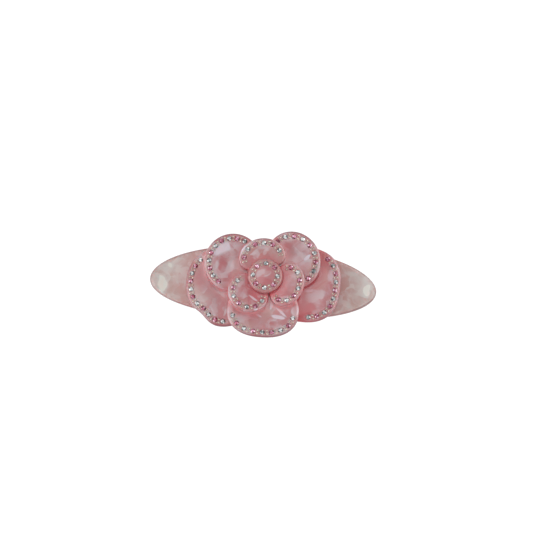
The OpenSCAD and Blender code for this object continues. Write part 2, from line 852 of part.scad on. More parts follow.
// A catch prong: bead, blade with its barb, rail and finger tab, on the +Y side
module prong() {
    outer = prong_y + prong_t / 2;
    barb_z = tongue_z - latch_play;
    rail_x = catch_x - prong_w / 2;
    color(STEEL) {
        translate([catch_x, prong_y, prong_z])
            rotate([0, 90, 0])
                cylinder(d = prong_t, h = prong_w, center = true);
        translate([rail_x, prong_y - prong_t / 2, prong_tip])
            cube([prong_w, prong_t, prong_z - prong_tip]);
        translate([rail_x, 0, 0])
            rotate([90, 0, 90])
                linear_extrude(prong_w)
                    polygon([
                        [outer - prong_t / 2, barb_z],
                        [outer + barb_out, barb_z],
                        [outer + barb_out, barb_z - barb_edge],
                        [outer, prong_tip],
                        [outer - prong_t / 2, prong_tip]
                    ]);
        translate([catch_x, prong_y - prong_t / 2, rail_z])
            cube([tab_x - catch_x + prong_t / 2, prong_t, rail_h]);
        translate([tab_x, prong_y, prong_tip])
            rotate([0, 0, tab_angle])
                translate([0, -prong_t / 2, 0])
                    cube([tab_l, prong_t, rail_z + rail_h - prong_tip]);
        translate([tab_x, prong_y, prong_tip])
            cylinder(d = prong_t, h = rail_z + rail_h - prong_tip);
    }
}

module catch_prong_rear() {
    prong();
}

module catch_prong_front() {
    mirror([0, 1, 0])
        prong();
}

base_plate();
petal(LOWER_LEFT);  // petal_lower_left
petal(LOWER_RIGHT);  // petal_lower_right
petal(UPPER_LEFT);  // petal_upper_left
petal(UPPER_RIGHT);  // petal_upper_right
petal(BOTTOM);  // petal_bottom
petal(INNER_TOP);  // inner_petal_top
petal(INNER_LEFT);  // inner_petal_left
petal(INNER_RIGHT);  // inner_petal_right
flower_centre();
crystals(stone_seats(LOWER_LEFT, false));  // crystals_lower_left
crystals(stone_seats(LOWER_RIGHT, false));  // crystals_lower_right
crystals(stone_seats(UPPER_LEFT, false));  // crystals_upper_left
crystals(stone_seats(UPPER_RIGHT, false));  // crystals_upper_right
crystals(stone_seats(BOTTOM, false));  // crystals_bottom
crystals(stone_seats(INNER_TOP, false));  // crystals_inner_top
crystals(stone_seats(INNER_LEFT, false));  // crystals_inner_left
crystals(stone_seats(INNER_RIGHT, false));  // crystals_inner_right
crystals(centre_seats(false));  // crystals_centre
rose_stones(stone_seats(LOWER_LEFT, true));  // rose_stones_lower_left
rose_stones(stone_seats(LOWER_RIGHT, true));  // rose_stones_lower_right
rose_stones(stone_seats(UPPER_LEFT, true));  // rose_stones_upper_left
rose_stones(stone_seats(UPPER_RIGHT, true));  // rose_stones_upper_right
rose_stones(stone_seats(BOTTOM, true));  // rose_stones_bottom
rose_stones(stone_seats(INNER_TOP, true));  // rose_stones_inner_top
rose_stones(stone_seats(INNER_LEFT, true));  // rose_stones_inner_left
rose_stones(stone_seats(INNER_RIGHT, true));  // rose_stones_inner_right
rose_stones(centre_seats(true));  // rose_stones_centre
seed_stones(seed_seats(LOWER_LEFT));  // seed_stones_lower_left
seed_stones(seed_seats(LOWER_RIGHT));  // seed_stones_lower_right
seed_stones(seed_seats(UPPER_LEFT));  // seed_stones_upper_left
seed_stones(seed_seats(UPPER_RIGHT));  // seed_stones_upper_right
seed_stones(seed_seats(BOTTOM));  // seed_stones_bottom
seed_stones(seed_seats(INNER_TOP));  // seed_stones_inner_top
seed_stones(seed_seats(INNER_LEFT));  // seed_stones_inner_left
seed_stones(seed_seats(INNER_RIGHT));  // seed_stones_inner_right
seed_stones(centre_seeds);  // seed_stones_centre
clip_base();
clip_rivets();
hinge_pin();
clip_arm();
tension_bow();
catch_prong_front();
catch_prong_rear();
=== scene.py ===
# %% [markdown]
# This lesson dresses a flower barrette. The real one is cut from pearly, marbled
# pink cellulose acetate: an arched oval plate, eight cupped petals in three layers
# and a domed centre, with rows of small cut stones along the edges and a sprung
# steel clip riveted underneath. The solid model comes first, because it says where
# every piece is and how the clip moves. Everything below is fitted to it.

import bpy
import numpy as np
from mathutils import Matrix, Vector


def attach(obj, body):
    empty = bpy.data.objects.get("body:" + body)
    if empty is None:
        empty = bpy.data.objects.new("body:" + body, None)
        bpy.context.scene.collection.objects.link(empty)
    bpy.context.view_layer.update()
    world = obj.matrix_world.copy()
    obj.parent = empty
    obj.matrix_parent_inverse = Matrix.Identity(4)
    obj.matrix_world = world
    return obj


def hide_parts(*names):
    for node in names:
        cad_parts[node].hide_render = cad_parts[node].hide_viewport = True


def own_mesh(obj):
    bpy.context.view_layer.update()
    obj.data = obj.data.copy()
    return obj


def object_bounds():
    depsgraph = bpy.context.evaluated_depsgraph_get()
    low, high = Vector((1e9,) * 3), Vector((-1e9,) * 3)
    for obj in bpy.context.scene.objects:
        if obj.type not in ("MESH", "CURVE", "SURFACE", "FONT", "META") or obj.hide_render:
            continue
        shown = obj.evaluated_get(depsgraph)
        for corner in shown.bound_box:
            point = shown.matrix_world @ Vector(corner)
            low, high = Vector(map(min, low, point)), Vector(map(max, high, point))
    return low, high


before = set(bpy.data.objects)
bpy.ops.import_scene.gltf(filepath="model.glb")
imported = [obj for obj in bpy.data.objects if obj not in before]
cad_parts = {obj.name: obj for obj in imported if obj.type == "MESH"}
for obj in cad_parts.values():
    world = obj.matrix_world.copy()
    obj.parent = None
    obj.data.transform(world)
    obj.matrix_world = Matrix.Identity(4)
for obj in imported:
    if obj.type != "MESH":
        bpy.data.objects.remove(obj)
cad_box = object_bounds()
MM = 0.001
print("solid model", [round(v / MM, 1) for v in cad_box[1] - cad_box[0]], "mm")

# %% [markdown]
# The camera looks down on the flower from 10 degrees off straight above, a little
# to the right, so the far end of the plate tips away. It could be placed by eye, but
# three directions worked out from two angles are exact: towards the camera, to the
# right and up. A long lens keeps the perspective as flat as it is in a catalogue.

# %% Camera
AZIMUTH, ELEVATION = np.radians(3.7), np.radians(80.0)
# In millimetres: how far away, how wide the view is there, and the point aimed at, which is
# then moved to the right and up.
DISTANCE, FIELD = 600.0, 233.3
AIM = (0.0, 0.0, 10.0)
AIM_RIGHT, AIM_UP = 1.53, 7.44

back = np.array([
    np.sin(AZIMUTH) * np.cos(ELEVATION),
    -np.cos(AZIMUTH) * np.cos(ELEVATION),
    np.sin(ELEVATION),
])
right = np.array([np.cos(AZIMUTH), np.sin(AZIMUTH), 0.0])
up = np.cross(back, right)
eye = np.array(AIM) + AIM_RIGHT * right + AIM_UP * up + DISTANCE * back

lens = bpy.data.cameras.new("catalogue_lens")
lens.sensor_width = 36.0
lens.lens = lens.sensor_width * DISTANCE / FIELD
lens.clip_start, lens.clip_end = 0.01, 20.0
camera = bpy.data.objects.new("catalogue_camera", lens)
bpy.context.collection.objects.link(camera)
pose = np.eye(4)
pose[:3, 0], pose[:3, 1], pose[:3, 2], pose[:3, 3] = right, up, back, eye * MM
camera.matrix_world = Matrix(pose.tolist())
bpy.context.scene.camera = camera
bpy.context.scene.view_settings.view_transform = "Standard"
print("lens", round(lens.lens, 1), "mm, camera", np.round(eye, 1), "mm")

# %% [markdown]
# Colours are written as the hex values that a colour picker shows, and shaders want
# linear light, so one function turns one into the other. Node trees get long when
# each node is built by hand. One small function adds a node, sets its properties and
# fills its inputs, with a link where it is given a socket and a value otherwise. Two
# more start a tree and put an object into the scene.

# %% Colour, node and object helpers
def linear(hex_colour):
    """Linear RGBA of an sRGB hex colour: below 0.04045 a straight line, above it a power curve."""
    srgb = np.array([int(hex_colour[i:i + 2], 16) for i in (1, 3, 5)]) / 255
    low, high = srgb / 12.92, ((srgb + 0.055) / 1.055) ** 2.4
    return (*np.where(srgb <= 0.04045, low, high).tolist(), 1.0)


def add(tree, kind, inputs=None, **settings):
    """Adds one node of a kind, sets its properties, then links or sets its inputs."""
    node = tree.nodes.new(kind)
    for name, value in settings.items():
        setattr(node, name, value)
    for key, value in (inputs or {}).items():
        if isinstance(value, bpy.types.NodeSocket):
            tree.links.new(value, node.inputs[key])
        else:
            node.inputs[key].default_value = value
    return node


def new_tree(owner):
    """The empty node tree of a new material or world."""
    owner.use_nodes = True
    owner.node_tree.nodes.clear()
    return owner.node_tree


def new_object(name, data):
    """A new object in the scene, from a mesh or a light."""
    thing = bpy.data.objects.new(name, data)
    bpy.context.collection.objects.link(thing)
    return thing


print("rose", [round(c, 3) for c in linear("#b8787c")])

# %% [markdown]
# Each acetate piece is a closed skin: rings of points that run from the middle of its
# upper face over the rounded edge and back to the middle of its underside. Blender
# could make such a shape with a subdivided cage, but a formula on a grid follows the
# solid model exactly and leaves room for the small seats of the stones. The skin also
# carries named values from point to point, which the materials read later.

# %% Skin from rings
def in_order(first, rings, last):
    """All points of a skin: the first, the rings one after another, and the last."""
    return np.concatenate([[first], rings.reshape(-1, 3), [last]])


def skin(name, rings, first, last, values):
    """A closed mesh over stacked rings: quads between rings, and a fan to one point at each end.

    rings is (ring, column, xyz) in millimetres, first and last are the end points, and
    values maps an attribute's name to one number or vector for each point.
    """
    count, columns = rings.shape[:2]
    points = in_order(first, rings, last) * MM
    column = np.arange(columns)
    onward = (column + 1) % columns
    row = 1 + columns * np.arange(count - 1)[:, None]
    below = row + columns
    quads = np.stack([row + column, below + column, below + onward, row + onward], -1)
    end = 1 + columns * (count - 1)
    start_fan = np.stack([np.zeros_like(column), 1 + column, 1 + onward], -1)
    end_fan = np.stack([np.full_like(column, len(points) - 1), end + onward, end + column], -1)
    mesh = bpy.data.meshes.new(name)
    faces = quads.reshape(-1, 4).tolist() + start_fan.tolist() + end_fan.tolist()
    mesh.from_pydata(points, [], faces)
    for key, value in values.items():
        kind, field = ("FLOAT_VECTOR", "vector") if value.ndim > 1 else ("FLOAT", "value")
        store = mesh.attributes.new(key, kind, "POINT")
        store.data.foreach_set(field, value.astype(np.float32).ravel())
    mesh.shade_smooth()
    return new_object(name, mesh)


def dress(piece, material, body, slot, *nodes):
    """Gives a piece its material, the body it moves with and the nodes it replaces. slot is not
    used.
    """
    piece.data.materials.append(material)
    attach(piece, body)
    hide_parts(*nodes)
    print(piece.name, len(piece.data.polygons), "faces")


print("skin helper ready")

# %% [markdown]
# The flower's own measures. A petal is a place (layer, reach from the axis, bearing),
# an outline (length outwards, half width, squareness) and a row of stones (bearings
# of the first and last from its heading, how many, and whether a rose one comes
# first). These are the solid model's values, so the skins land on the solids.

# %% Measures of the flower, in millimetres and degrees
PLATE_L, PLATE_W, PLATE_T, ARCH_R = 100.0, 32.0, 3.2, 150.0
PLATE_Z = 11.4
ARCH_Z, TOP_R = PLATE_Z - ARCH_R, ARCH_R + PLATE_T
FLOWER = np.array([0.9, 1.1])
PETAL_T, CEMENT, PETAL_GAP, HUB_R, CUP_PEAK = 2.2, 0.1, 0.3, 4.0, 0.88
SLOPES, CUPS, ROOTS = (0.0, 0.11, 0.2), (2.2, 2.2, 1.8), (1.0, 3.0, 2.0)
CENTRE_R, CENTRE_H, CENTRE_FALL, CENTRE_RING, CENTRE_STONES = 7.5, 4.2, 1.4, 5.35, 8
STONE_R, STONE_CROWN, STONE_DEPTH = 0.975, 0.4, 0.85
SEED_R, SEED_CROWN, SEED_DEPTH = 0.4, 0.2, 0.4
ROW_INSET, SEED_OFFSET = 2.2, 0.72

KEYS = ("layer", "reach", "bearing", "out", "half", "square",
        "first", "last", "stones", "rose_first")
PETALS = {
    place: dict(zip(KEYS, row), place=place)
    for place, row in {
        "lower_left": (0, 18.4, 194.0, 16.2, 17.6, 2.2, -60.0, 79.0, 11, False),
        "lower_right": (0, 15.8, -4.0, 17.0, 16.6, 2.6, 51.0, -71.0, 10, True),
        "upper_left": (1, 15.2, 158.5, 12.5, 12.6, 2.0, -93.0, 78.0, 10, False),
        "upper_right": (1, 14.3, 36.0, 11.5, 12.6, 2.0, 99.0, -84.0, 9, True),
        "bottom": (1, 14.5, 270.0, 11.9, 15.4, 2.3, -77.0, 79.0, 9, False),
        "inner_top": (2, 8.4, 102.0, 7.9, 10.1, 2.0, 83.0, -78.0, 6, True),
        "inner_left": (2, 9.7, 228.0, 8.9, 9.1, 2.0, -90.0, 101.0, 7, False),
        "inner_right": (2, 9.6, -17.5, 7.6, 9.7, 2.0, 95.0, -95.0, 7, True),
    }.items()
}
NOTCH_RATIO, NOTCH_BEARING, NOTCH_HALF = 0.12, 41.0, 20.0
large = sum(p["stones"] for p in PETALS.values()) + CENTRE_STONES
print(len(PETALS), "petals,", large, "large stones")

# %% [markdown]
# A petal was pressed over a form while it was warm. Its outline is a superellipse,
# an oval whose squareness can be turned up, and two straight cuts keep it off its
# neighbours. Its height follows the arch of the plate, climbs away from the axis and
# then cups up towards the edge. All of it is written once, for whole arrays of angles.

# %% Shape of a petal
# How sharply the cuts meet the outline, per millimetre, and the least sine to divide by.
CUT_SHARP, LEAST_SINE = 3.0, 0.01


def sin(degrees):
    """Sine of an angle in degrees."""
    return np.sin(np.radians(degrees))


def cos(degrees):
    """Cosine of an angle in degrees."""
    return np.cos(np.radians(degrees))


def wrap(degrees):
    """The same angle between -180 and 180."""
    return (degrees + 180) % 360 - 180


def smooth_step(t):
    """0 below 0, 1 above 1, and between them three t squared less two t cubed."""
    t = np.clip(t, 0, 1)
    return t ** 2 * (3 - 2 * t)


def plate_top(x):
    """Height of the plate's upper face: a circle about a line far below it."""
    return ARCH_Z + np.sqrt(TOP_R ** 2 - x ** 2)


def layer_z(layer):
    """Height of a layer's underside at the axis, over the plate."""
    return CEMENT + layer * (PETAL_T + CEMENT)


def lift(layer, distance):
    """Rise of a layer away from the axis: flat on the hub, then a cone."""
    return SLOPES[layer] * distance ** 2 / (distance + HUB_R)


def middle(p):
    """A petal's middle in plan: its reach from the axis, along its bearing."""
    return FLOWER + p["reach"] * np.array([cos(p["bearing"]), sin(p["bearing"])])


def rim(p, a):
    """Radius of a petal's outline at angle a from its heading.

    One over the n-th root of the sum of two n-th powers gives the superellipse. A bell
    curve dents the lower left one. The soft least of that and the two cuts is kept: minus
    the log of a sum of exponentials, so that they meet in a small curve.
    """
    n = p["square"]
    length = np.where(cos(a) > 0, p["out"], p["reach"] - ROOTS[p["layer"]])
    r = ((np.abs(cos(a)) / length) ** n + (np.abs(sin(a)) / p["half"]) ** n) ** (-1 / n)
    if p["place"] == "lower_left":
        r = r * (1 - NOTCH_RATIO * np.exp(-(wrap(a - NOTCH_BEARING) / NOTCH_HALF) ** 2))
    others = [q for q in PETALS.values() if q["layer"] == p["layer"] and q is not p]
    turns = [q["bearing"] - p["bearing"] for q in others]
    for side in (1, -1):
        mid = side * min((side * t) % 360 for t in turns) / 2
        toward = np.maximum(side * sin(a - mid), LEAST_SINE)
        room = (side * p["reach"] * sin(mid) - PETAL_GAP / 2) / toward
        r = -np.logaddexp(-CUT_SHARP * r, -CUT_SHARP * room) / CUT_SHARP
    return r


def top(p, a, u):
    """Point of a petal's upper face at angle a and part u of the way to its edge.

    The cup is a squared sine on the way out, times the fourth power of a cosine round the petal.
    """
    r = rim(p, a) * u
    x = middle(p)[0] + r * cos(a + p["bearing"])
    y = middle(p)[1] + r * sin(a + p["bearing"])
    rise = lift(p["layer"], np.hypot(x - FLOWER[0], y - FLOWER[1]))
    cup = CUPS[p["layer"]] * sin(90 * u / CUP_PEAK) ** 2 * cos(wrap(a) / 2) ** 4
    return np.stack([x, y, plate_top(x) + layer_z(p["layer"]) + PETAL_T + rise + cup], -1)


print("petal edges rise to", {n: round(float(top(p, 0.0, 1.0)[2]), 1) for n, p in PETALS.items()})

# %% [markdown]
# Stones sit a little in from the edge, clear and rose in turn, with a pair of tiny
# seed stones in each gap. They could be scattered by hand. Measuring along the row
# and dividing its length keeps the steps even round every curve. A stone faces the
# way the petal faces there, which two short steps across and along the row give.

# %% Seats of the stones
# Short steps in millimetres and degrees, and the points that measure a row.
STEP_ACROSS, STEP_ALONG = 0.2, 1.0
ROW_POINTS = 49


def inset_point(p, a, inset):
    """Point of a petal's upper face at angle a, so many millimetres in from the outline."""
    return top(p, a, 1 - inset / rim(p, a))


def seats(p, a, inset):
    """Points on a petal at angles a, and normals there: the cross product of two short steps."""
    across = inset_point(p, a, inset - STEP_ACROSS) - inset_point(p, a, inset + STEP_ACROSS)
    along = inset_point(p, a + STEP_ALONG, inset) - inset_point(p, a - STEP_ALONG, inset)
    normal = np.cross(across, along)
    return inset_point(p, a, inset), normal / np.linalg.norm(normal, axis=-1, keepdims=True)


def row_bearings(p, steps):
    """Bearings at so many steps along a row, each from stone to stone, mirrored past its ends."""
    a = np.linspace(p["first"], p["last"], ROW_POINTS)
    strides = np.linalg.norm(np.diff(inset_point(p, a, ROW_INSET), axis=0), axis=1)
    length = np.concatenate([[0], np.cumsum(strides)])
    last = p["stones"] - 1
    scale = length / length[-1] * last
    inside = np.where(steps < 0, -steps, np.where(steps > last, 2 * last - steps, steps))
    found = np.interp(inside, scale, a)
    return np.where(steps < 0, 2 * a[0] - found, np.where(steps > last, 2 * a[-1] - found, found))


def petal_stones(p):
    """Seats of a petal's clear, rose and seed stones."""
    steps = np.arange(p["stones"])
    rose = (steps % 2 == 0) == p["rose_first"]
    ends = 1 if p["layer"] == 2 else 0
    half = np.repeat(np.arange(-ends, p["stones"] - 1 + ends) + 0.5, 2)
    sides = np.resize([-SEED_OFFSET, SEED_OFFSET], half.shape)
    return {
        "crystals": seats(p, row_bearings(p, steps[~rose]), ROW_INSET),
        "rose_stones": seats(p, row_bearings(p, steps[rose]), ROW_INSET),
        "seed_stones": seats(p, row_bearings(p, half), ROW_INSET + sides),
    }


CENTRE_Z = plate_top(FLOWER[0]) + layer_z(3)
DOME_R = (CENTRE_R ** 2 + CENTRE_FALL ** 2) / (2 * CENTRE_FALL)
DOME_Z = CENTRE_Z + CENTRE_H - DOME_R


def dome_seats(a, r):
    """Points on the centre's dome at bearing a and radius r; the normal is the sphere's radius."""
    normal = np.stack([r * cos(a), r * sin(a), np.sqrt(DOME_R ** 2 - r ** 2) + 0 * a], -1) / DOME_R
    return np.array([*FLOWER, DOME_Z]) + DOME_R * normal, normal


ring = 90 - np.arange(CENTRE_STONES) * 360 / CENTRE_STONES
between = np.repeat(ring - 180 / CENTRE_STONES, 2)
in_and_out = np.resize([-SEED_OFFSET, SEED_OFFSET], between.shape)
STONES = {place: petal_stones(p) for place, p in PETALS.items()}
STONES["centre"] = {
    "crystals": dome_seats(ring[0::2], CENTRE_RING),
    "rose_stones": dome_seats(ring[1::2], CENTRE_RING),
    "seed_stones": dome_seats(between, CENTRE_RING + in_and_out),
}
print({place: [len(kind[0]) for kind in kinds.values()] for place, kinds in STONES.items()})

# %% [markdown]
# Two things about the acetate change from point to point. Where one piece covers another, light has
# been through more pink, so the crevice is a deep rose in shade. A ray-traced crevice gets part of
# that by itself. The rest is painted: a painted deep-rose shade that fades with distance from the
# covering outline.
# Right beside an edge that stands proud, light comes through the edge too, so there a second value
# paints the shade paler, as painted light. The other thing is the cut edge. Where nothing lies
# under it, it shows as a thin dark line.

# %% Painted crevice shade, painted light and free edges
LOWER = ("lower_left", "lower_right")
UPPER = ("upper_left", "upper_right", "bottom")
INNER = ("inner_top", "inner_left", "inner_right")
CENTRE = ("centre",)
# Both tables: on which piece, beside what, how strong, and how far it reaches in millimetres. The
# first paints shade in the crevices, the second paints light beside edges that stand proud.
PAINTED_SHADE_ROWS = (
    ("plate", LOWER + UPPER, 0.3, 5.0),
    ("lower_left", UPPER + INNER, 0.2, 1.5),
    ("lower_left", ("inner_left",), 0.9, 1.8),
    ("lower_right", UPPER + INNER, 0.95, 3.8),
    ("lower_right", ("bottom",), 1.0, 6.0),
    ("upper_left", INNER + CENTRE, 0.65, 2.2),
    ("upper_left", ("inner_left",), 0.8, 2.6),
    ("upper_right", INNER + CENTRE, 0.45, 2.8),
    ("bottom", INNER + CENTRE, 0.5, 2.0),
    ("inner_top", CENTRE, 0.6, 1.7),
    ("inner_left", CENTRE, 0.85, 2.2),
    ("inner_right", CENTRE, 1.0, 3.6),
)
PAINTED_LIGHT_ROWS = (
    ("lower_left", ("upper_left",), 1.0, 0.9),
    ("lower_right", ("upper_right", "inner_right"), 0.25, 0.7),
    ("upper_left", INNER, 0.35, 0.7),
    ("upper_right", ("inner_top",), 1.0, 1.1),
    ("upper_right", ("inner_right",), 0.45, 0.8),
    ("bottom", INNER, 1.0, 0.9),
    ("inner_top", CENTRE, 0.3, 1.0),
    ("inner_left", CENTRE, 0.35, 0.7),
    ("inner_right", CENTRE, 0.3, 0.6),
)


def outside(place, xy):
    """How far points lie outside the outline of a petal or the centre, measured from its middle."""
    if place == "centre":
        return np.hypot(*(xy - FLOWER).T) - CENTRE_R
    p = PETALS[place]
    away = xy - middle(p)
    bearing = np.degrees(np.arctan2(away[:, 1], away[:, 0]))
    return np.hypot(*away.T) - rim(p, bearing - p["bearing"])


def beside(table, place, xy):
    """The most of a piece's rows: strength times e to the minus distance over reach.

    The distance is to the nearest outline of what covers the piece, and 0 inside one.
    """
    value = np.zeros(len(xy))
    for piece, covers, strength, reach in table:
        if piece == place:
            gap = np.min([outside(cover, xy) for cover in covers], axis=0)
            value = np.maximum(value, strength * np.exp(-np.maximum(gap, 0) / reach))
    return value


def free_edge(xy, layer):
    """1 where nothing lies under a point, 0 where a lower petal or the plate does.

    Between them is a ramp one millimetre wide, with its middle on the outline.
    """
    gaps = [outside(place, xy) for place, p in PETALS.items() if p["layer"] < layer]
    oval = np.hypot(xy[:, 0] / (PLATE_L / 2), xy[:, 1] / (PLATE_W / 2))
    gaps.append((oval - 1) * PLATE_W / 2)
    return np.clip(0.5 + np.min(gaps, axis=0), 0, 1)


spot = FLOWER + [[CENTRE_R + 3, 0]]
print("crevice at 3 mm from the centre", np.round(beside(PAINTED_SHADE_ROWS, "inner_right", spot), 2))

# %% [markdown]
# Each stone sits in a countersunk seat. A hole could be cut for it, but that breaks up
# the skin. Here the skin is pressed down under the stone and comes back up in a soft
# lip, so its rings stay in one piece.

# %% Seats pressed into the skin
# Radius, depth and width of the lip for each kind of stone, and the room round it, in millimetres.
PRESSED = {
    "crystals": (STONE_R, 0.22, 0.35),
    "rose_stones": (STONE_R, 0.22, 0.35),
    "seed_stones": (SEED_R, 0.12, 0.2),
}
SEAT_ROOM = 0.05


def press_seats(points, place):
    """Sinks points near each stone: full depth under it, then a smooth step back up to the face."""
    for kind, (spots, normals) in STONES[place].items():
        r, depth, lip = PRESSED[kind]
        for spot, normal in zip(spots, normals):
            away = np.linalg.norm(points - spot, axis=-1)
            sunk = depth * smooth_step((r + lip - away) / (lip - SEAT_ROOM))
            points = points - sunk[..., None] * normal
    return points


print("seats for", sum(len(k[0]) for kinds in STONES.values() for k in kinds.values()), "stones")

# %% [markdown]
# No two chips of a pearly block lie alike. Some show as one milky oval, some as clear rose, and one
# that stands on edge is a white feather. Chance alone never puts them where this flower has them,
# so the largest are listed one by one: on which piece, where in plan, half length, half width,
# turn, and how milky. Below 0 is clear rose.

# %% Flakes of pearl, a few of them painted highlights
# A few thin white flakes at the petals' edges stand where a highlight falls: those are painted
# highlights, the rest is the pearl's own pattern.
FLAKES = {
    "upper_left": (
        (-14.0, 7.0, 18.0, 18.0, 0, 0.15), (-19.4, 12.2, 4.6, 3.4, 60, 0.75),
        (-13.8, 11.9, 3.8, 3.0, 80, 0.25), (-21.8, 4.6, 4.4, 1.9, -75, 0.45),
        (-17.5, 5.0, 2.8, 2.3, 0, -0.50), (-14.6, 5.1, 3.0, 1.6, 60, 0.55),
        (-16.1, -3.1, 2.6, 1.2, 0, 0.50), (-12.7, 1.1, 2.4, 2.2, 0, -0.50),
    ),
    "upper_right": (
        (13.0, 10.0, 18.0, 18.0, 0, 0.06), (16.5, 13.2, 4.4, 2.6, -40, 0.60),
        (10.0, 14.0, 3.6, 2.4, 60, -0.40), (6.4, 20.5, 2.4, 1.2, 30, 0.90),
        (18.6, 10.9, 2.0, 0.6, 40, 0.70),
    ),
    "lower_left": (
        (-18.0, -3.0, 24.0, 24.0, 0, -0.25), (-18.0, -6.2, 3.0, 0.6, -45, 0.80),
        (-15.4, -14.6, 1.8, 0.5, 80, 0.70), (-28.6, 8.3, 2.8, 2.0, 45, 1.00),
        (-26.8, 0.2, 4.0, 3.0, 90, -0.25),
    ),
    "bottom": (
        (0.9, -13.0, 20.0, 16.0, 0, 0.15), (4.6, -10.3, 2.6, 0.7, 72, 1.10),
        (7.4, -15.9, 2.8, 0.8, -14, 1.20), (8.3, -13.3, 3.6, 0.5, -45, 1.00),
        (14.9, -12.9, 2.6, 1.6, 75, 0.80), (-6.8, -15.5, 2.2, 1.6, 20, 0.45),
        (-0.8, -15.8, 1.6, 0.5, -25, 0.80), (-13.4, -13.6, 2.2, 1.4, 60, 0.80),
    ),
    "inner_left": (
        (-6.0, -7.0, 14.0, 14.0, 0, 0.15), (-3.7, -8.7, 2.2, 0.5, -30, 0.80),
        (-9.1, -1.7, 2.4, 1.3, 75, 0.50), (-5.6, -3.3, 0.8, 0.4, -50, 1.20),
        (-2.1, -13.5, 0.9, 0.5, 10, 1.20), (-7.4, -7.0, 3.0, 1.6, 60, 0.35),
        (-3.1, -6.3, 2.6, 1.6, 0, -0.35),
    ),
    "inner_right": (
        (10.0, -2.0, 14.0, 14.0, 0, 0.25), (9.0, -8.0, 2.4, 1.4, 20, 0.55),
        (12.1, -0.7, 4.0, 2.0, 80, 0.35),
    ),
    "centre": (
        (0.9, 1.1, 12.0, 12.0, 0, -0.32), (-1.0, 1.8, 2.6, 1.2, 40, 0.60),
        (2.0, 2.0, 1.8, 1.0, 30, 0.45), (1.2, -1.6, 3.0, 1.7, 0, -0.80),
    ),
    "lower_right": (
        (22.8, -5.0, 4.2, 2.6, 30, 0.60), (20.1, -2.8, 2.6, 0.6, 15, 1.00),
        (28.9, 4.4, 3.2, 1.3, 80, 0.80), (19.5, -10.6, 4.0, 3.0, 30, -0.50),
        (25.9, 8.9, 4.0, 2.6, -60, -0.30), (24.6, -0.2, 3.6, 0.5, 38, -0.70),
    ),
    "inner_top": (
        (-9.2, 11.8, 2.6, 1.3, 65, 0.95), (-3.7, 10.5, 2.0, 1.4, 50, 0.60),
        (0.5, 11.7, 1.6, 0.9, 60, 0.60),
    ),
    "plate": (
        (-44.3, -2.5, 4.2, 2.2, -68, 1.00), (-41.5, 5.5, 1.6, 1.0, -30, 0.90),
        (-37.0, -4.8, 4.0, 2.4, 0, -0.50), (-35.3, 4.1, 3.4, 0.9, 10, 0.60),
        (45.8, 0.4, 3.2, 1.8, 82, 1.10), (35.5, 2.5, 3.6, 2.2, 60, -0.60),
        (36.2, -6.7, 2.2, 1.2, -30, 0.60), (32.9, -11.5, 2.0, 0.7, 40, 0.90),
    ),
}
FLAKE_OUT, FLAKE_IN = 1.3, 0.7
# How fast each wave turns along X and Y, in radians per millimetre.
SLOW_WAVES, QUICK_WAVES = ((0.3, 0.7), (0.6, -0.3)), ((-0.8, 1.5), (1.4, 0.7))
QUICK_SHARE = 0.3


def flakes(xy, place):
    """Sum of a piece's ovals: an amount times a smooth step from 1.3 to 0.7 of the oval's size.

    Slow waves, and weaker quick ones, first move the points by a quarter of the oval's width,
    so that none has an even edge.
    """
    waves = np.sin(xy @ np.transpose(SLOW_WAVES))
    waves += QUICK_SHARE * np.sin(xy @ np.transpose(QUICK_WAVES))
    total = np.zeros(len(xy))
    for x, y, long, wide, turn, amount in FLAKES[place]:
        dx, dy = (xy - (x, y) + waves * wide / 4).T
        along, across = dx * cos(turn) + dy * sin(turn), dy * cos(turn) - dx * sin(turn)
        size = np.hypot(along / long, across / wide)
        total += amount * smooth_step((FLAKE_OUT - size) / (FLAKE_OUT - FLAKE_IN))
    return total


def block_place(points, turn, shift):
    """Where a point lay in the marbled block before its piece was cut out, in metres."""
    x, y, z = points.T
    turned = [x * cos(turn) - y * sin(turn), x * sin(turn) + y * cos(turn), z]
    return np.stack(turned, -1) * MM + shift


print(sum(len(rows) for rows in FLAKES.values()), "flakes placed by hand")

# %% [markdown]
# Pearly cellulose acetate: the block is pressed from chips of sheet that hold flakes of pearl
# pigment, all lying different ways. Cut and polished, it shows soft patches a few millimetres wide,
# some with a sharp edge. Voronoi cells, bent by noise, give such chips: broad soft ones for the
# colour, and small ones for the sheen of the pearl, which is a painted sheen.

# %% Chips of the block
# Sizes of the patterns, in millimetres.
BEND, BROAD, CHIP, CLOUD, RIPPLE = 8.0, 9.0, 5.0, 2.5, 5.0
BROAD_SOFT, CHIP_SOFT = 0.9, 0.2
MID_GREY = (0.5, 0.5, 0.5)


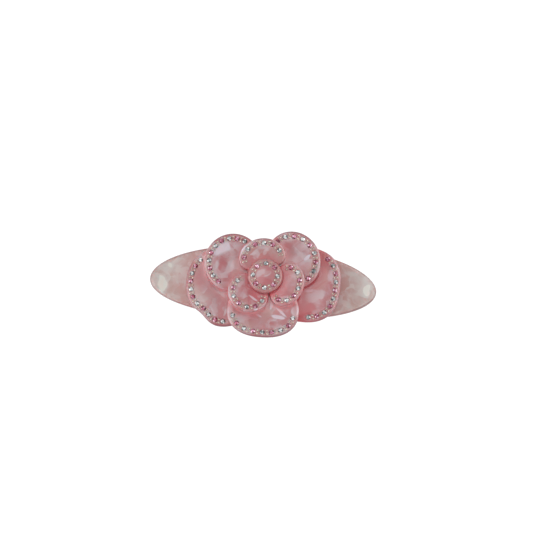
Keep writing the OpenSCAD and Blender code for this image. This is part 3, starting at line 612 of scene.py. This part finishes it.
def marbling(tree, block):
    """Three numbers for each broad cell, the sheen across each chip in metres, and clouds.

    A chip's sheen is the way from its seed to the point, measured along a direction of the chip's
    own. So pearl brightens from one side to the other: a painted sheen, as flakes that lie at a
    slant catch the light.
    """
    bend = add(tree, "ShaderNodeTexNoise",
               {"Vector": block, "Scale": 1 / (BEND * MM), "Detail": 2.0})
    bend = add(tree, "ShaderNodeVectorMath", {0: bend.outputs["Color"], 1: MID_GREY},
               operation="SUBTRACT")
    bend = add(tree, "ShaderNodeVectorMath", {0: bend.outputs[0], "Scale": BEND * MM},
               operation="SCALE")
    bent = add(tree, "ShaderNodeVectorMath", {0: block, 1: bend.outputs[0]}).outputs[0]
    broad, chips = (
        add(tree, "ShaderNodeTexVoronoi",
            {"Vector": bent, "Scale": 1 / (size * MM), "Smoothness": soft}, feature="SMOOTH_F1")
        for size, soft in ((BROAD, BROAD_SOFT), (CHIP, CHIP_SOFT))
    )
    mood = add(tree, "ShaderNodeSeparateColor", {0: broad.outputs["Color"]})
    slant = add(tree, "ShaderNodeVectorMath", {0: chips.outputs["Color"], 1: MID_GREY},
                operation="SUBTRACT")
    slant = add(tree, "ShaderNodeVectorMath", {0: slant.outputs[0]}, operation="NORMALIZE")
    away = add(tree, "ShaderNodeVectorMath", {0: bent, 1: chips.outputs["Position"]},
               operation="SUBTRACT")
    sheen = add(tree, "ShaderNodeVectorMath", {0: away.outputs[0], 1: slant.outputs[0]},
                operation="DOT_PRODUCT")
    cloud = add(tree, "ShaderNodeTexNoise",
                {"Vector": bent, "Scale": 1 / (CLOUD * MM), "Detail": 2.0, "Roughness": 0.5})
    return mood.outputs, sheen.outputs["Value"], cloud.outputs[0]


print("chips", CHIP, "mm wide, broad cells", BROAD, "mm")

# %% [markdown]
# The pink dye takes out green and blue and leaves the red alone, so the colours, from clear rose to
# milky lilac white, have nearly the same red. They are mixed one over the other: the marbling
# first, then the lip by the stones, the cut edge, the painted shade in the crevices and the painted
# light beside proud edges.
# The polish gives a clear reflection, the index is about 1.48, and light travels under
# the skin, less so at the edge.

# %% Acetate material
# The flakes' whitest colour is the pearl's own, and a painted highlight where a flake stands in for
# one.
PETAL_MIX = {"rose": "#b4646a", "pink": "#b8878a", "peach": "#ba9b91", "pearl": "#c8babf",
             "pearl_white_and_highlight": "#dbd2dd", "lip": "#ae8480", "edge": "#86464e"}
PLATE_MIX = {"rose": "#a8706d", "pink": "#ae8480", "peach": "#b09c92", "pearl": "#beb7b3",
             "pearl_white_and_highlight": "#d4d2c9", "lip": "#b39993", "edge": "#88605e"}
# Painted light and shade: a deep rose for the shade in crevices, a pale pink for the light beside
# proud edges.
PAINTED_SHADE_ROSE, PAINTED_LIGHT_PINK = "#c63c49", "#f0b4b8"
# What the painted sheen, the broad cells and the flakes add to the milk, and the flakes to the
# tone.
PAINTED_SHEEN_PART, MOOD_PART, FLAKE_PART, FLAKE_TONE = 0.65, 0.9, 0.9, 0.4
# How far a milky block moves the steps, and the most of the lip's and the edge's colour.
MILKY_SHIFT, LIP_MOST, LINE_MOST = 0.3, 0.55, 0.9
# How much of the light goes under the skin, on a face and at an edge.
FACE_DEPTH, EDGE_DEPTH = 0.8, 0.15


def body_colour(tree, block, mix, milky):
    """Rose with the other colours mixed over it, each by a smooth step of some value."""
    mood, sheen, cloud = marbling(tree, block)
    flake = add(tree, "ShaderNodeAttribute", attribute_name="flake").outputs["Fac"]
    milk = cloud
    for value, part in (
        (sheen, PAINTED_SHEEN_PART / (CHIP * MM)), (mood[2], MOOD_PART), (flake, FLAKE_PART),
    ):
        milk = add(tree, "ShaderNodeMath", {0: value, 1: part, 2: milk},
                   operation="MULTIPLY_ADD").outputs[0]
    tone = add(tree, "ShaderNodeMath", {0: flake, 1: FLAKE_TONE, 2: mood[0]},
               operation="MULTIPLY_ADD").outputs[0]
    shift = MILKY_SHIFT * milky
    layers = []
    # Each row: the colour, the value, where it starts and ends, and the least and the most.
    for colour, value, start, end, least, most in (
        ("pink", tone, 0.1 - shift, 0.6 - shift, 0.0, 1.0),
        ("peach", mood[1], 0.35, 0.8, 0.5 * milky, 0.5 + 0.4 * milky),
        ("pearl", milk, 0.6 - shift, 1.75 - shift, 0.0, 0.9),
        ("pearl_white_and_highlight", flake, 0.65, 1.0, 0.0, 0.75),
    ):
        amount = add(tree, "ShaderNodeMapRange", {0: value, 1: start, 2: end, 3: least, 4: most},
                     interpolation_type="SMOOTHSTEP")
        layers.append((amount, mix[colour]))
    for place, most, colour in (
        ("lip", LIP_MOST, mix["lip"]), ("line", LINE_MOST, mix["edge"]),
        ("crevice_shade", 1.0, PAINTED_SHADE_ROSE), ("through", 1.0, PAINTED_LIGHT_PINK),
    ):
        value = add(tree, "ShaderNodeAttribute", attribute_name=place).outputs["Fac"]
        layers.append((add(tree, "ShaderNodeMapRange", {0: value, 4: most}), colour))
    body = linear(mix["rose"])
    for amount, colour in layers:
        body = add(tree, "ShaderNodeMix", {0: amount.outputs[0], 6: body, 7: linear(colour)},
                   data_type="RGBA").outputs[2]
    return body


def acetate(name, mix, milky):
    """Polished acetate. mix names its colours, and milky, from 0 to 1, says how milky it is."""
    material = bpy.data.materials.new(name)
    tree = new_tree(material)
    block = add(tree, "ShaderNodeAttribute", attribute_name="block").outputs["Vector"]
    ripple = add(tree, "ShaderNodeTexNoise",
                 {"Vector": block, "Scale": 1 / (RIPPLE * MM), "Detail": 1.0})
    wave = add(tree, "ShaderNodeBump",
               {"Height": ripple.outputs[0], "Strength": 0.25, "Distance": 0.6 * MM})
    edge = add(tree, "ShaderNodeAttribute", attribute_name="edge").outputs["Fac"]
    depth = add(tree, "ShaderNodeMapRange", {0: edge, 3: FACE_DEPTH, 4: EDGE_DEPTH})
    shader = add(tree, "ShaderNodeBsdfPrincipled", {
        "Base Color": body_colour(tree, block, mix, milky), "Normal": wave.outputs[0],
        "Roughness": 0.2, "IOR": 1.48, "Coat Weight": 0.8, "Coat Roughness": 0.06,
        "Subsurface Weight": depth.outputs[0], "Subsurface Radius": (1.0, 0.4, 0.38),
        "Subsurface Scale": 3 * MM,
    })
    add(tree, "ShaderNodeOutputMaterial", {"Surface": shader.outputs[0]})
    return material


petal_acetate = acetate("polished_pearl_acetate", PETAL_MIX, milky=0.0)
plate_acetate = acetate("polished_pale_pearl_acetate", PLATE_MIX, milky=1.0)
print(petal_acetate.name, len(petal_acetate.node_tree.nodes), "nodes")

# %% [markdown]
# The plate is the same arched oval as in the solid model, with its sawn edge rounded
# and polished. Shrinking an oval towards its middle gives the rings. The face is
# carried up onto the arch, so the plate bends along its length and stays straight
# across.

# %% Base plate
# In millimetres: how far in and how far down the upper edge is rounded, the lower edge's
# radius, and how soon the edge's line is full. Then the share of that line underneath.
PLATE_EDGE, UNDER_EDGE, EDGE_LINE = (1.4, 1.1), 0.9, 0.35
UNDER_LINE = 0.3
# Points round a ring, rings on the upper face and on the underside, and where those start.
COLUMNS, PLATE_RINGS, PLATE_START = 480, (90, 20), 0.97
quarter = np.linspace(0, 90, 7)
over = quarter[1:]
angles = np.linspace(0, 360, COLUMNS, endpoint=False)


def profile(thickness, edge, face, underside):
    """Rings of a slab from top to bottom, as pairs: inset from the outline and drop below the top.

    The top runs out by the insets in face. Its edge is a quarter ellipse, so far in and so far
    down as edge says. The lower edge is a quarter circle, and the underside runs back in.
    """
    inset = [face, edge[0] * (1 - sin(over)), UNDER_EDGE * (1 - cos(quarter)), underside]
    drop = [0 * face, edge[1] * (1 - cos(over)),
            thickness - UNDER_EDGE * (1 - sin(quarter)), 0 * underside + thickness]
    return np.concatenate(inset), np.concatenate(drop)


def edge_line(drop, thickness):
    """0 on the upper face, 1 on the side, and less on the underside, which is polished too."""
    below = np.clip((drop - thickness) / UNDER_EDGE + 1, 0, 1)
    return np.clip(drop / EDGE_LINE, 0, 1) * (1 - (1 - UNDER_LINE) * below)


def over_skin(first, rings, last):
    """A value for each point of a skin, from its first point's, its rings' and its last point's."""
    rings = np.broadcast_to(rings, (len(rings), COLUMNS))
    return np.concatenate([[first], rings.ravel(), [last]])


half_l, half_w = PLATE_L / 2, PLATE_W / 2
face, underside = (
    PLATE_EDGE[0] + np.linspace(PLATE_START, 0, count) * (half_w - PLATE_EDGE[0])
    for count in PLATE_RINGS
)
inset, drop = profile(PLATE_T, PLATE_EDGE, face, underside[::-1])
inset, drop = inset[:, None], drop[:, None]
border = np.minimum(inset, PLATE_EDGE[0])
x = (half_l - border) * (half_w - inset) / (half_w - border) * cos(angles)
y = (half_w - inset) * sin(angles)
rings = np.stack([x, y, plate_top(x) - drop], -1)
first, last = np.array([0, 0, plate_top(0)]), np.array([0, 0, PLATE_Z])
flat = in_order(first, rings, last)
edge = over_skin(0, edge_line(drop, PLATE_T), UNDER_LINE)
values = {
    "block": block_place(flat, turn=20, shift=(0.31, 0.12, 0.0)),
    "flake": flakes(flat[:, :2], "plate"),
    # Painted shade on the plate beside the petals.
    "crevice_shade": beside(PAINTED_SHADE_ROWS, "plate", flat[:, :2]),
    "through": np.zeros(len(flat)),
    "edge": edge,
    "line": edge,
    "lip": np.zeros(len(flat)),
}
plate = skin("acetate_plate", rings, first, last, values)
dress(plate, plate_acetate, "barrette", "plate_acetate", "base_plate")

# %% [markdown]
# Each petal takes its rings at set distances in from its outline: close together where the stones
# sit, wider apart in the hollow, and few on the plain underside. Its edge is a flat half round, as
# polishing on a wheel leaves it. An edge that lies over another petal would be lit through that
# one, so there less of the dark line is painted, as painted light.

# %% Petals
# In millimetres: the rounding of the edge, the width of the stones' band, over how much of
# it the lip fades in, and the drop where it stops.
PETAL_EDGE, BAND, LIP_FADE, LIP_DROP = (1.5, 1.0), 4.0, 2.4, 0.1
# Rings in the hollow and in the band, above and below, and where the hollow starts.
HOLLOW_RINGS, BAND_RINGS, HOLLOW_START = (48, 12), (24, 6), 0.95
# What is left over another petal: of the dark line, for each layer, lifted there as painted light
# through that petal, and of the edge's value.
LINE_LIT_THROUGH, COVERED_DEPTH = (0.5, 0.2, 0.08), 0.35
# How far the block is turned, in degrees, and moved, in metres, from petal to petal.
BLOCK_TURN, BLOCK_STEP = 47.0, (0.07, 0.05, 0.03)
hollow, under_hollow = (
    np.linspace(HOLLOW_START, 0, count, endpoint=False) for count in HOLLOW_RINGS
)
band, under_band = (np.linspace(BAND, PETAL_EDGE[0], count) for count in BAND_RINGS)
NODE_OF = {
    place: place.replace("inner", "inner_petal") if "inner" in place else "petal_" + place
    for place in PETALS
}


def petal(p, turn, shift):
    """A petal's skin: the slab profile carried round the outline, with the seats pressed in."""
    edge_inset, edge_drop = profile(PETAL_T, PETAL_EDGE, band, under_band[::-1])
    r = rim(p, angles)
    deep, under = (BAND + part[:, None] * (r - BAND) for part in (hollow, under_hollow[::-1]))
    inset = np.concatenate([deep, np.repeat(edge_inset[:, None], COLUMNS, 1), under])
    drop = np.concatenate([0 * hollow, edge_drop, 0 * under_hollow + PETAL_T])[:, None]
    rings = top(p, angles[None, :], 1 - inset / r)
    rings[..., 2] -= drop
    upper = drop[:, 0] < PETAL_EDGE[1]
    rings[upper] = press_seats(rings[upper], p["place"])
    first = top(p, 0.0, 0.0)
    last = first - [0, 0, PETAL_T]
    flat = in_order(first, rings, last)
    lip = np.clip((BAND - inset) / LIP_FADE, 0, 1) * (drop < LIP_DROP)
    free = free_edge(flat[:, :2], p["layer"])
    covered = LINE_LIT_THROUGH[p["layer"]]
    edge = over_skin(0, edge_line(drop, PETAL_T), UNDER_LINE)
    values = {
        "block": block_place(flat, turn, shift),
        "flake": flakes(flat[:, :2], p["place"]),
        # Painted deep-rose shade near what covers the petal.
        "crevice_shade": beside(PAINTED_SHADE_ROWS, p["place"], flat[:, :2]),
        # Painted light: paler pink right beside an edge that stands proud.
        "through": beside(PAINTED_LIGHT_ROWS, p["place"], flat[:, :2]),
        "edge": edge * (COVERED_DEPTH + (1 - COVERED_DEPTH) * free),
        # Less of the dark line where a petal lies below: painted light through it.
        "line": edge * (covered + (1 - covered) * free),
        "lip": over_skin(0, lip, 0),
    }
    return skin("acetate_petal_" + p["place"], rings, first, last, values)


for index, (place, p) in enumerate(PETALS.items()):
    shift = np.multiply(BLOCK_STEP, (index, index % 3, index))
    piece = petal(p, BLOCK_TURN * index, shift)
    dress(piece, petal_acetate, "barrette", "petal_acetate", NODE_OF[place])

# %% [markdown]
# The centre is turned on a lathe: a low dome with a ring of stones, and an underside
# that follows the cone of the inner petals. Rings of one radius each are all that a
# turned piece needs.

# %% Flower centre
# In millimetres: the rounding of the edge, the innermost ring, and where the lip starts and
# how far it takes to fade in.
CENTRE_EDGE, INNERMOST, LIP_START, LIP_WIDTH = 0.9, 0.3, 3.6, 1.2
DOME_RINGS, FOOT_RINGS = 44, 14
# How much of the side's value the rounded edge reaches, and how strong the painted deep-rose shade
# is under it.
EDGE_SIDE, SHADE_UNDER_CENTRE = 0.6, 0.8
dome_radius = np.linspace(INNERMOST, CENTRE_R - CENTRE_EDGE, DOME_RINGS)
edge_radius = CENTRE_R - CENTRE_EDGE * (1 - sin(over))
foot_radius = np.linspace(CENTRE_R, INNERMOST, FOOT_RINGS)
radius = np.concatenate([dome_radius, edge_radius])
rounding = np.concatenate([0 * dome_radius, CENTRE_EDGE * (1 - cos(over))])
dome_height = DOME_Z + np.sqrt(DOME_R ** 2 - radius ** 2) - rounding
height = np.concatenate([dome_height, CENTRE_Z + lift(2, foot_radius)])[:, None]
radius = np.concatenate([radius, foot_radius])[:, None]
rings = np.stack([
    FLOWER[0] + radius * cos(angles),
    FLOWER[1] + radius * sin(angles),
    np.broadcast_to(height, (len(height), COLUMNS)),
], -1)
rings[:DOME_RINGS] = press_seats(rings[:DOME_RINGS], "centre")
first = np.array([*FLOWER, CENTRE_Z + CENTRE_H])
last = np.array([*FLOWER, CENTRE_Z])
flat = in_order(first, rings, last)
down_edge = np.linspace(0, EDGE_SIDE, len(over))
side = np.concatenate([0 * dome_radius, down_edge, 0 * foot_radius + 1])[:, None]
lip = np.clip((radius - LIP_START) / LIP_WIDTH, 0, 1) * (1 - side)
values = {
    "block": block_place(flat, turn=130, shift=(0.6, 0.21, 0.4)),
    "flake": flakes(flat[:, :2], "centre"),
    "crevice_shade": over_skin(0, SHADE_UNDER_CENTRE * side ** 2, SHADE_UNDER_CENTRE),
    "through": np.zeros(len(flat)),
    "edge": over_skin(0, COVERED_DEPTH * side, COVERED_DEPTH),
    "line": over_skin(0, LINE_LIT_THROUGH[2] * side, 0),
    "lip": over_skin(0, lip, 0),
}
centre = skin("acetate_flower_centre", rings, first, last, values)
dress(centre, petal_acetate, "barrette", "petal_acetate", "flower_centre")

# %% [markdown]
# A small cut stone has a flat table, a crown of 32 facets and a foil behind it, which throws the
# light back. Real glass with a foil takes many bounces to trace. Instead each glossy facet gets its
# own tone of painted light, painted shade where it would look past the foil and a painted highlight
# where it would catch the light, which reads the same at this size. One stone is cut below, then
# set into every seat, turned a different way each time.

# %% Cut of a stone
# The middle ring's radius and its part of the crown's height, and the foot's radius.
MIDDLE_R, MIDDLE_Z, FOOT_R = 0.82, 0.577, 0.55


def cut_stone(sides, table, crown, depth):
    """Points and faces of a stone of radius 1: table, middle ring, girdle and foot.

    Between those rings lie stars, kites and pairs of girdle facets. Heights are in parts of
    the radius.
    """
    turn = np.arange(2 * sides) * np.pi / sides
    unit = np.stack([np.cos(turn), np.sin(turn)], -1)
    level = [table * unit[0::2], MIDDLE_R * unit[1::2], unit, FOOT_R * unit[0::2]]
    z = [crown, MIDDLE_Z * crown, 0.0, -depth]
    points = np.concatenate([np.column_stack([v, np.full(len(v), h)]) for v, h in zip(level, z)])
    points = np.concatenate([points, [[0, 0, crown]]])
    t, m, f = (np.arange(sides) + k * sides for k in (0, 1, 4))
    g = np.arange(2 * sides) + 2 * sides
    middle_point = len(points) - 1
    faces = []
    for i in range(sides):
        j, k = (i + 1) % sides, (2 * i + 2) % (2 * sides)
        faces += [[middle_point, t[i], t[j]]]
        faces += [[t[i], m[i], t[j]], [t[j], m[i], g[k], m[j]], [m[i], g[2 * i], g[2 * i + 1]]]
        faces += [[m[i], g[2 * i + 1], g[k]], [g[2 * i], f[i], f[j], g[k], g[2 * i + 1]]]
    return points, [[int(i) for i in face] for face in faces + [f[::-1]]]


BRILLIANT = cut_stone(8, table=0.58, crown=STONE_CROWN / STONE_R, depth=STONE_DEPTH / STONE_R)
SEED = cut_stone(4, table=0.55, crown=SEED_CROWN / SEED_R, depth=SEED_DEPTH / SEED_R)
print("brilliant", len(BRILLIANT[1]), "faces, seed", len(SEED[1]), "faces")

# %% [markdown]
# Setting the stones: each is scaled, spun by a random angle and stood on the normal of its seat. A
# facet's tone, its painted light, comes from two waves round the stone, one with two crests and one
# with three, and some chance. That leaves a few patches of painted shade and a few of painted
# highlight, as the facets of a real stone show at arm's length.

# %% Setting of the stones
# A direction that no seat faces, and what makes up a facet's tone of painted light: its mean, the
# part of the waves, and the spread of chance from facet to facet and from stone to stone.
ASKEW = (0.31, 0.9, 0.1)
FACET_LIGHT_MEAN, FACET_LIGHT_WAVES, FACET_CHANCE, STONE_CHANCE = 0.52, 0.4, 0.2, 0.09


def set_stones(name, spots, normals, cut, size, seed):
    """One mesh with the cut stone at every seat: its points times size, in the seat's own frame."""
    draw = np.random.default_rng(seed)
    points, faces = cut
    side = np.cross(normals, ASKEW)
    side /= np.linalg.norm(side, axis=1, keepdims=True)
    other = np.cross(normals, side)
    spin = draw.uniform(0, 2 * np.pi, len(spots))[:, None]
    across = np.cos(spin) * side + np.sin(spin) * other
    along = np.cross(normals, across)
    placed = spots[:, None] + size * points @ np.stack([across, along, normals], 1)
    count = len(points)
    mesh = bpy.data.meshes.new(name)
    all_faces = [[count * k + i for i in face] for k in range(len(spots)) for face in faces]
    mesh.from_pydata(placed.reshape(-1, 3) * MM, [], all_faces)
    aim = np.array([np.mean(points[face, :2], axis=0) for face in faces])
    bearing, reach = np.arctan2(aim[:, 1], aim[:, 0]), np.hypot(*aim.T)
    phase = draw.uniform(0, 2 * np.pi, (2, len(spots), 1))
    waves = np.cos(2 * bearing + phase[0]) + np.cos(3 * bearing + phase[1])
    # Painted light: a facet's tone is its painted shade or painted highlight.
    shade = FACET_LIGHT_MEAN + FACET_LIGHT_WAVES * waves * reach + draw.normal(0, FACET_CHANCE, waves.shape)
    shade += draw.normal(0, STONE_CHANCE, (len(spots), 1))
    tone = mesh.attributes.new("tone", "FLOAT", "FACE")
    tone.data.foreach_set("value", np.clip(shade, 0, 1).astype(np.float32).ravel())
    return new_object(name, mesh)


print("stones ready to set")

# %% [markdown]
# Foiled glass: the foil is a mirror behind the glass, so the stone is shaded as a coloured metal
# with a smooth face. A ramp turns a facet's tone into its colour: the stone's own colour, with
# painted shade towards the dark end and a painted highlight towards the bright end. The clear ones
# run from slate to white, the rose ones from wine to a cold lilac, and the seeds stay a pale cream
# because their facets are too small to tell apart.

# %% Stone materials
# Each ramp runs from painted shade to painted highlight in the stone's own colour.
CLEAR = [(0.0, "#3a4245"), (0.3, "#7c8486"), (0.6, "#b7bab9"), (0.85, "#e0e1e1"), (1.0, "#ffffff")]
ROSE = [(0.0, "#5f2036"), (0.3, "#8f3b53"), (0.6, "#b0647a"), (0.85, "#cc96b2"), (1.0, "#f6e6f0")]
CREAM = [(0.0, "#75655a"), (0.5, "#c6b5a2"), (1.0, "#fbf2e2")]


def foiled_glass(name, stops, metallic):
    """Glossy facets whose colour is read from a ramp by each facet's tone, which is painted light.
    """
    material = bpy.data.materials.new(name)
    tree = new_tree(material)
    tone = add(tree, "ShaderNodeAttribute", attribute_name="tone").outputs["Fac"]
    ramp = add(tree, "ShaderNodeValToRGB", {0: tone})
    bar = ramp.color_ramp
    bar.elements[0].position, bar.elements[1].position = stops[0][0], stops[-1][0]
    bar.elements[0].color, bar.elements[1].color = linear(stops[0][1]), linear(stops[-1][1])
    for position, colour in stops[1:-1]:
        bar.elements.new(position).color = linear(colour)
    shader = add(tree, "ShaderNodeBsdfPrincipled", {
        "Base Color": ramp.outputs[0], "Metallic": metallic, "Roughness": 0.08,
        "Coat Weight": 0.3, "Coat Roughness": 0.02,
    })
    add(tree, "ShaderNodeOutputMaterial", {"Surface": shader.outputs[0]})
    return material


STONE_KINDS = {
    "crystals": ("clear_stone", BRILLIANT, STONE_R, foiled_glass("foiled_clear_glass", CLEAR, 0.3)),
    "rose_stones": ("rose_stone", BRILLIANT, STONE_R, foiled_glass("foiled_rose_glass", ROSE, 0.4)),
    "seed_stones": ("seed_stone", SEED, SEED_R, foiled_glass("foiled_cream_glass", CREAM, 0.3)),
}
for index, (place, kinds) in enumerate(STONES.items()):
    for number, (kind, (spots, normals)) in enumerate(kinds.items()):
        slot, cut, size, glass = STONE_KINDS[kind]
        node = kind + "_" + place
        piece = set_stones("set_" + node, spots, normals, cut, size, 10 * index + number)
        dress(piece, glass, "barrette", slot, node)

# %% [markdown]
# The clip under the plate is stamped from spring steel strip and plated with nickel.
# Rolling leaves fine lines along the strip, and the plating a soft warm shine. The
# solids already have the right shape, so they stay and get this finish. A weld joins
# their corners, a dissolve joins the triangles of each flat, and a small live bevel
# breaks the edges, as tumbling does. Weighted normals then shade a flat as a flat.

# %% Clip metal
# In millimetres: the lines' width, the stains' size, the broken edges and the weld's reach.
ROLLED, STAIN, TUMBLED, WELD_REACH = 0.6, 6.0, 0.12, 0.001
# Where the lines' noise starts and ends, and how far it is drawn out along the strip.
LINE_LOW, LINE_HIGH, LINE_SQUEEZE = 0.3, 0.7, 0.03
STAINED = "#989693"
FLAT_ANGLE, EDGE_ANGLE = np.radians(1), np.radians(40)


def plated_steel(name, colour, low, high):
    """Nickel plate with rolled lines along X: low is the roughness between them, high is on them.

    Real lines are a few hundredths of a millimetre apart. These are coarser, so that they show.
    """
    material = bpy.data.materials.new(name)
    tree = new_tree(material)
    place = add(tree, "ShaderNodeTexCoord").outputs["Object"]
    drawn = add(tree, "ShaderNodeMapping", {"Vector": place, "Scale": (LINE_SQUEEZE, 1.0, 1.0)})
    lines = add(tree, "ShaderNodeTexNoise",
                {"Vector": drawn.outputs[0], "Scale": 1 / (ROLLED * MM), "Detail": 2.0})
    stain = add(tree, "ShaderNodeTexNoise",
                {"Vector": place, "Scale": 1 / (STAIN * MM), "Detail": 3.0})
    dull = add(tree, "ShaderNodeMapRange",
               {0: lines.outputs[0], 1: LINE_LOW, 2: LINE_HIGH, 3: low, 4: high})
    shade = add(tree, "ShaderNodeMix",
                {0: stain.outputs[0], 6: linear(colour), 7: linear(STAINED)}, data_type="RGBA")
    shader = add(tree, "ShaderNodeBsdfPrincipled", {
        "Base Color": shade.outputs[2], "Metallic": 1.0, "Roughness": dull.outputs[0],
    })
    add(tree, "ShaderNodeOutputMaterial", {"Surface": shader.outputs[0]})
    return material


strip = plated_steel("nickel_plated_strip_steel", "#bfbdb8", 0.2, 0.34)
turned = plated_steel("bright_nickel_plated_steel", "#cdcac5", 0.12, 0.22)
sprung = plated_steel("tempered_spring_steel", "#b2b3b6", 0.16, 0.3)
FINISH = {
    "clip_base": strip, "clip_arm": strip, "catch_prong_front": strip, "catch_prong_rear": strip,
    "clip_rivets": turned, "hinge_pin": turned,
}
for node, metal in FINISH.items():
    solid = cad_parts[node]
    solid.material_slots[0].material = metal
    weld = solid.modifiers.new("joined_corners", "WELD")
    weld.merge_threshold = WELD_REACH * MM
    flats = solid.modifiers.new("joined_flats", "DECIMATE")
    flats.decimate_type, flats.angle_limit = "DISSOLVE", FLAT_ANGLE
    bevel = solid.modifiers.new("tumbled_edges", "BEVEL")
    bevel.width, bevel.segments = TUMBLED * MM, 2
    bevel.limit_method, bevel.angle_limit = "ANGLE", EDGE_ANGLE
    solid.modifiers.new("even_shading", "WEIGHTED_NORMAL")
    print(node, "in", metal.name)

# %% [markdown]
# The tension bow is a thin blade rolled round the hinge pin, arched over the arm and tucked under
# two lips at its far end. When hair is pressed on it, it flattens towards the line between its
# ends. A strip carried along an arc gives the blade.

# %% Tension bow
# In millimetres and degrees, as in the solid model.
BOW_W, BOW_T, BOW_RISE, BOW_FOOT, BOW_SOFT = 4.4, 0.4, 3.0, 3.0, 0.14
HINGE = np.array([-36.5, 2.0])
EYE_IN, EYE_OUT = 0.8, 1.2
EYE_START, EYE_END = 90, 395
BOW_START, BOW_END = np.array([-36.5, 3.0]), np.array([27.45, 0.85])
# Points round the strip, rings along the blade, its foot and its eye, and where the foot starts.
CORNERS, BLADE_RINGS, TUCK_RINGS, EYE_RINGS, TUCK_START = 24, 90, 8, 64, 0.15


def strip_along(path):
    """A flat strip along a path in X and Z: a rounded rectangle across it at every point."""
    step = np.gradient(path, axis=0)
    step /= np.linalg.norm(step, axis=1, keepdims=True)
    normal = np.stack([-step[:, 1], step[:, 0]], -1)
    corner = (np.arange(CORNERS) + 0.5) * 360 / CORNERS
    w = np.sign(cos(corner)) * (BOW_W / 2 - BOW_SOFT) + BOW_SOFT * cos(corner)
    h = np.sign(sin(corner)) * (BOW_T / 2 - BOW_SOFT) + BOW_SOFT * sin(corner)
    rings = np.empty((len(path), len(corner), 3))
    rings[..., 0] = path[:, :1] + normal[:, :1] * h
    rings[..., 1] = -w
    rings[..., 2] = path[:, 1:] + normal[:, 1:] * h
    return rings


chord = np.linalg.norm(BOW_END - BOW_START)
along = (BOW_END - BOW_START) / chord
upward = np.array([-along[1], along[0]])
bow_r = (chord ** 2 / 4 + BOW_RISE ** 2) / (2 * BOW_RISE)
swing = np.degrees(np.arcsin(chord / 2 / bow_r))
hub = (BOW_START + BOW_END) / 2 + (BOW_RISE - bow_r) * upward
turn = np.linspace(-swing, swing, BLADE_RINGS)[:, None]
arc = hub + bow_r * (sin(turn) * along + cos(turn) * upward)
foot = BOW_END + np.linspace(TUCK_START, BOW_FOOT, TUCK_RINGS)[:, None] * [1, 0]
rings = strip_along(np.concatenate([arc, foot]))
blade = skin("sprung_bow_blade", rings, rings[0].mean(0), rings[-1].mean(0), {})
dress(blade, sprung, "arm", "spring_steel", "tension_bow")
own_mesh(blade)

roll = np.linspace(EYE_START, EYE_END, EYE_RINGS)
rings = strip_along(HINGE + (EYE_IN + EYE_OUT) / 2 * np.stack([cos(roll), sin(roll)], -1))
bow_eye = skin("sprung_bow_eye", rings, rings[0].mean(0), rings[-1].mean(0), {})
dress(bow_eye, sprung, "arm", "spring_steel", "tension_bow")

# %% [markdown]
# The studio: small goods are often shot on a glass table with a white sheet well below
# it, so that no hard shadow touches them. The sheet here lies under the reach of the
# clip's open arm. It is white by its own light to the camera and in reflections, and in
# part a plain white surface that keeps the shadow. The room is white in the same way,
# and gives less light than it shows, so that the hollows keep their depth.

# %% Floor and room
# In millimetres and metres: the floor's distance below the clip, and half its side.
FLOOR_DROP, FLOOR_HALF = 76.0, 3
# The sheet's own light and its share of what is seen, and how much light the room gives.
PAPER_GLOW, GLOW_SHARE, ROOM_LIGHT = 1.25, 0.6, 0.54
WHITE = (1, 1, 1, 1)


def seen_directly(tree):
    """1 for a ray from the camera, off a glossy face or through glass, and 0 for any other."""
    ray = add(tree, "ShaderNodeLightPath").outputs
    seen = ray["Is Camera Ray"]
    for other in ("Is Glossy Ray", "Is Transmission Ray"):
        seen = add(tree, "ShaderNodeMath", {0: seen, 1: ray[other]}, operation="MAXIMUM").outputs[0]
    return seen


floor_mesh = bpy.data.meshes.new("studio_floor")
corners = [(x * FLOOR_HALF, y * FLOOR_HALF, 0) for x, y in ((-1, -1), (1, -1), (1, 1), (-1, 1))]
floor_mesh.from_pydata(corners, [], [(0, 1, 2, 3)])
floor = new_object("studio_floor", floor_mesh)
floor.location.z = cad_box[0][2] - FLOOR_DROP * MM
paper = bpy.data.materials.new("white_studio_paper")
tree = new_tree(paper)
sheet = add(tree, "ShaderNodeBsdfPrincipled", {
    "Base Color": linear("#f2f2f2"), "Roughness": 0.9, "Specular IOR Level": 0.0,
})
glow = add(tree, "ShaderNodeEmission", {"Color": WHITE, "Strength": PAPER_GLOW})
share = add(tree, "ShaderNodeMath", {0: seen_directly(tree), 1: GLOW_SHARE}, operation="MULTIPLY")
both = add(tree, "ShaderNodeMixShader",
           {0: share.outputs[0], 1: sheet.outputs[0], 2: glow.outputs[0]})
add(tree, "ShaderNodeOutputMaterial", {"Surface": both.outputs[0]})
floor_mesh.materials.append(paper)

world = bpy.data.worlds.new("studio_room")
tree = new_tree(world)
level = add(tree, "ShaderNodeMapRange", {0: seen_directly(tree), 3: ROOM_LIGHT, 4: 1.0})
room = add(tree, "ShaderNodeBackground", {"Color": WHITE, "Strength": level.outputs[0]})
add(tree, "ShaderNodeOutputWorld", {"Surface": room.outputs[0]})
bpy.context.scene.world = world
print("floor", FLOOR_DROP, "mm below the clip")

# %% [markdown]
# One soft light is overhead and two large ones stand at the sides, which draw a bright
# line along the polished edges.

# %% Lights
# What the lights face, in metres.
LIT = Vector((0, 0, 0.015))


def softbox(name, place, size, power):
    """A square area light that faces the flower, its place and size in metres, power in watts."""
    lamp = bpy.data.lights.new(name, "AREA")
    lamp.size, lamp.energy = size, power
    box = new_object(name, lamp)
    box.location = place
    box.rotation_euler = (LIT - Vector(place)).to_track_quat("-Z", "Y").to_euler()
    print(name, power, "W")


softbox("overhead_softbox", (-0.2, 0.15, 0.7), size=0.5, power=0.8)
softbox("left_softbox", (-0.55, -0.2, 0.25), size=0.6, power=2.1)
softbox("right_softbox", (0.55, 0.1, 0.25), size=0.6, power=1.7)
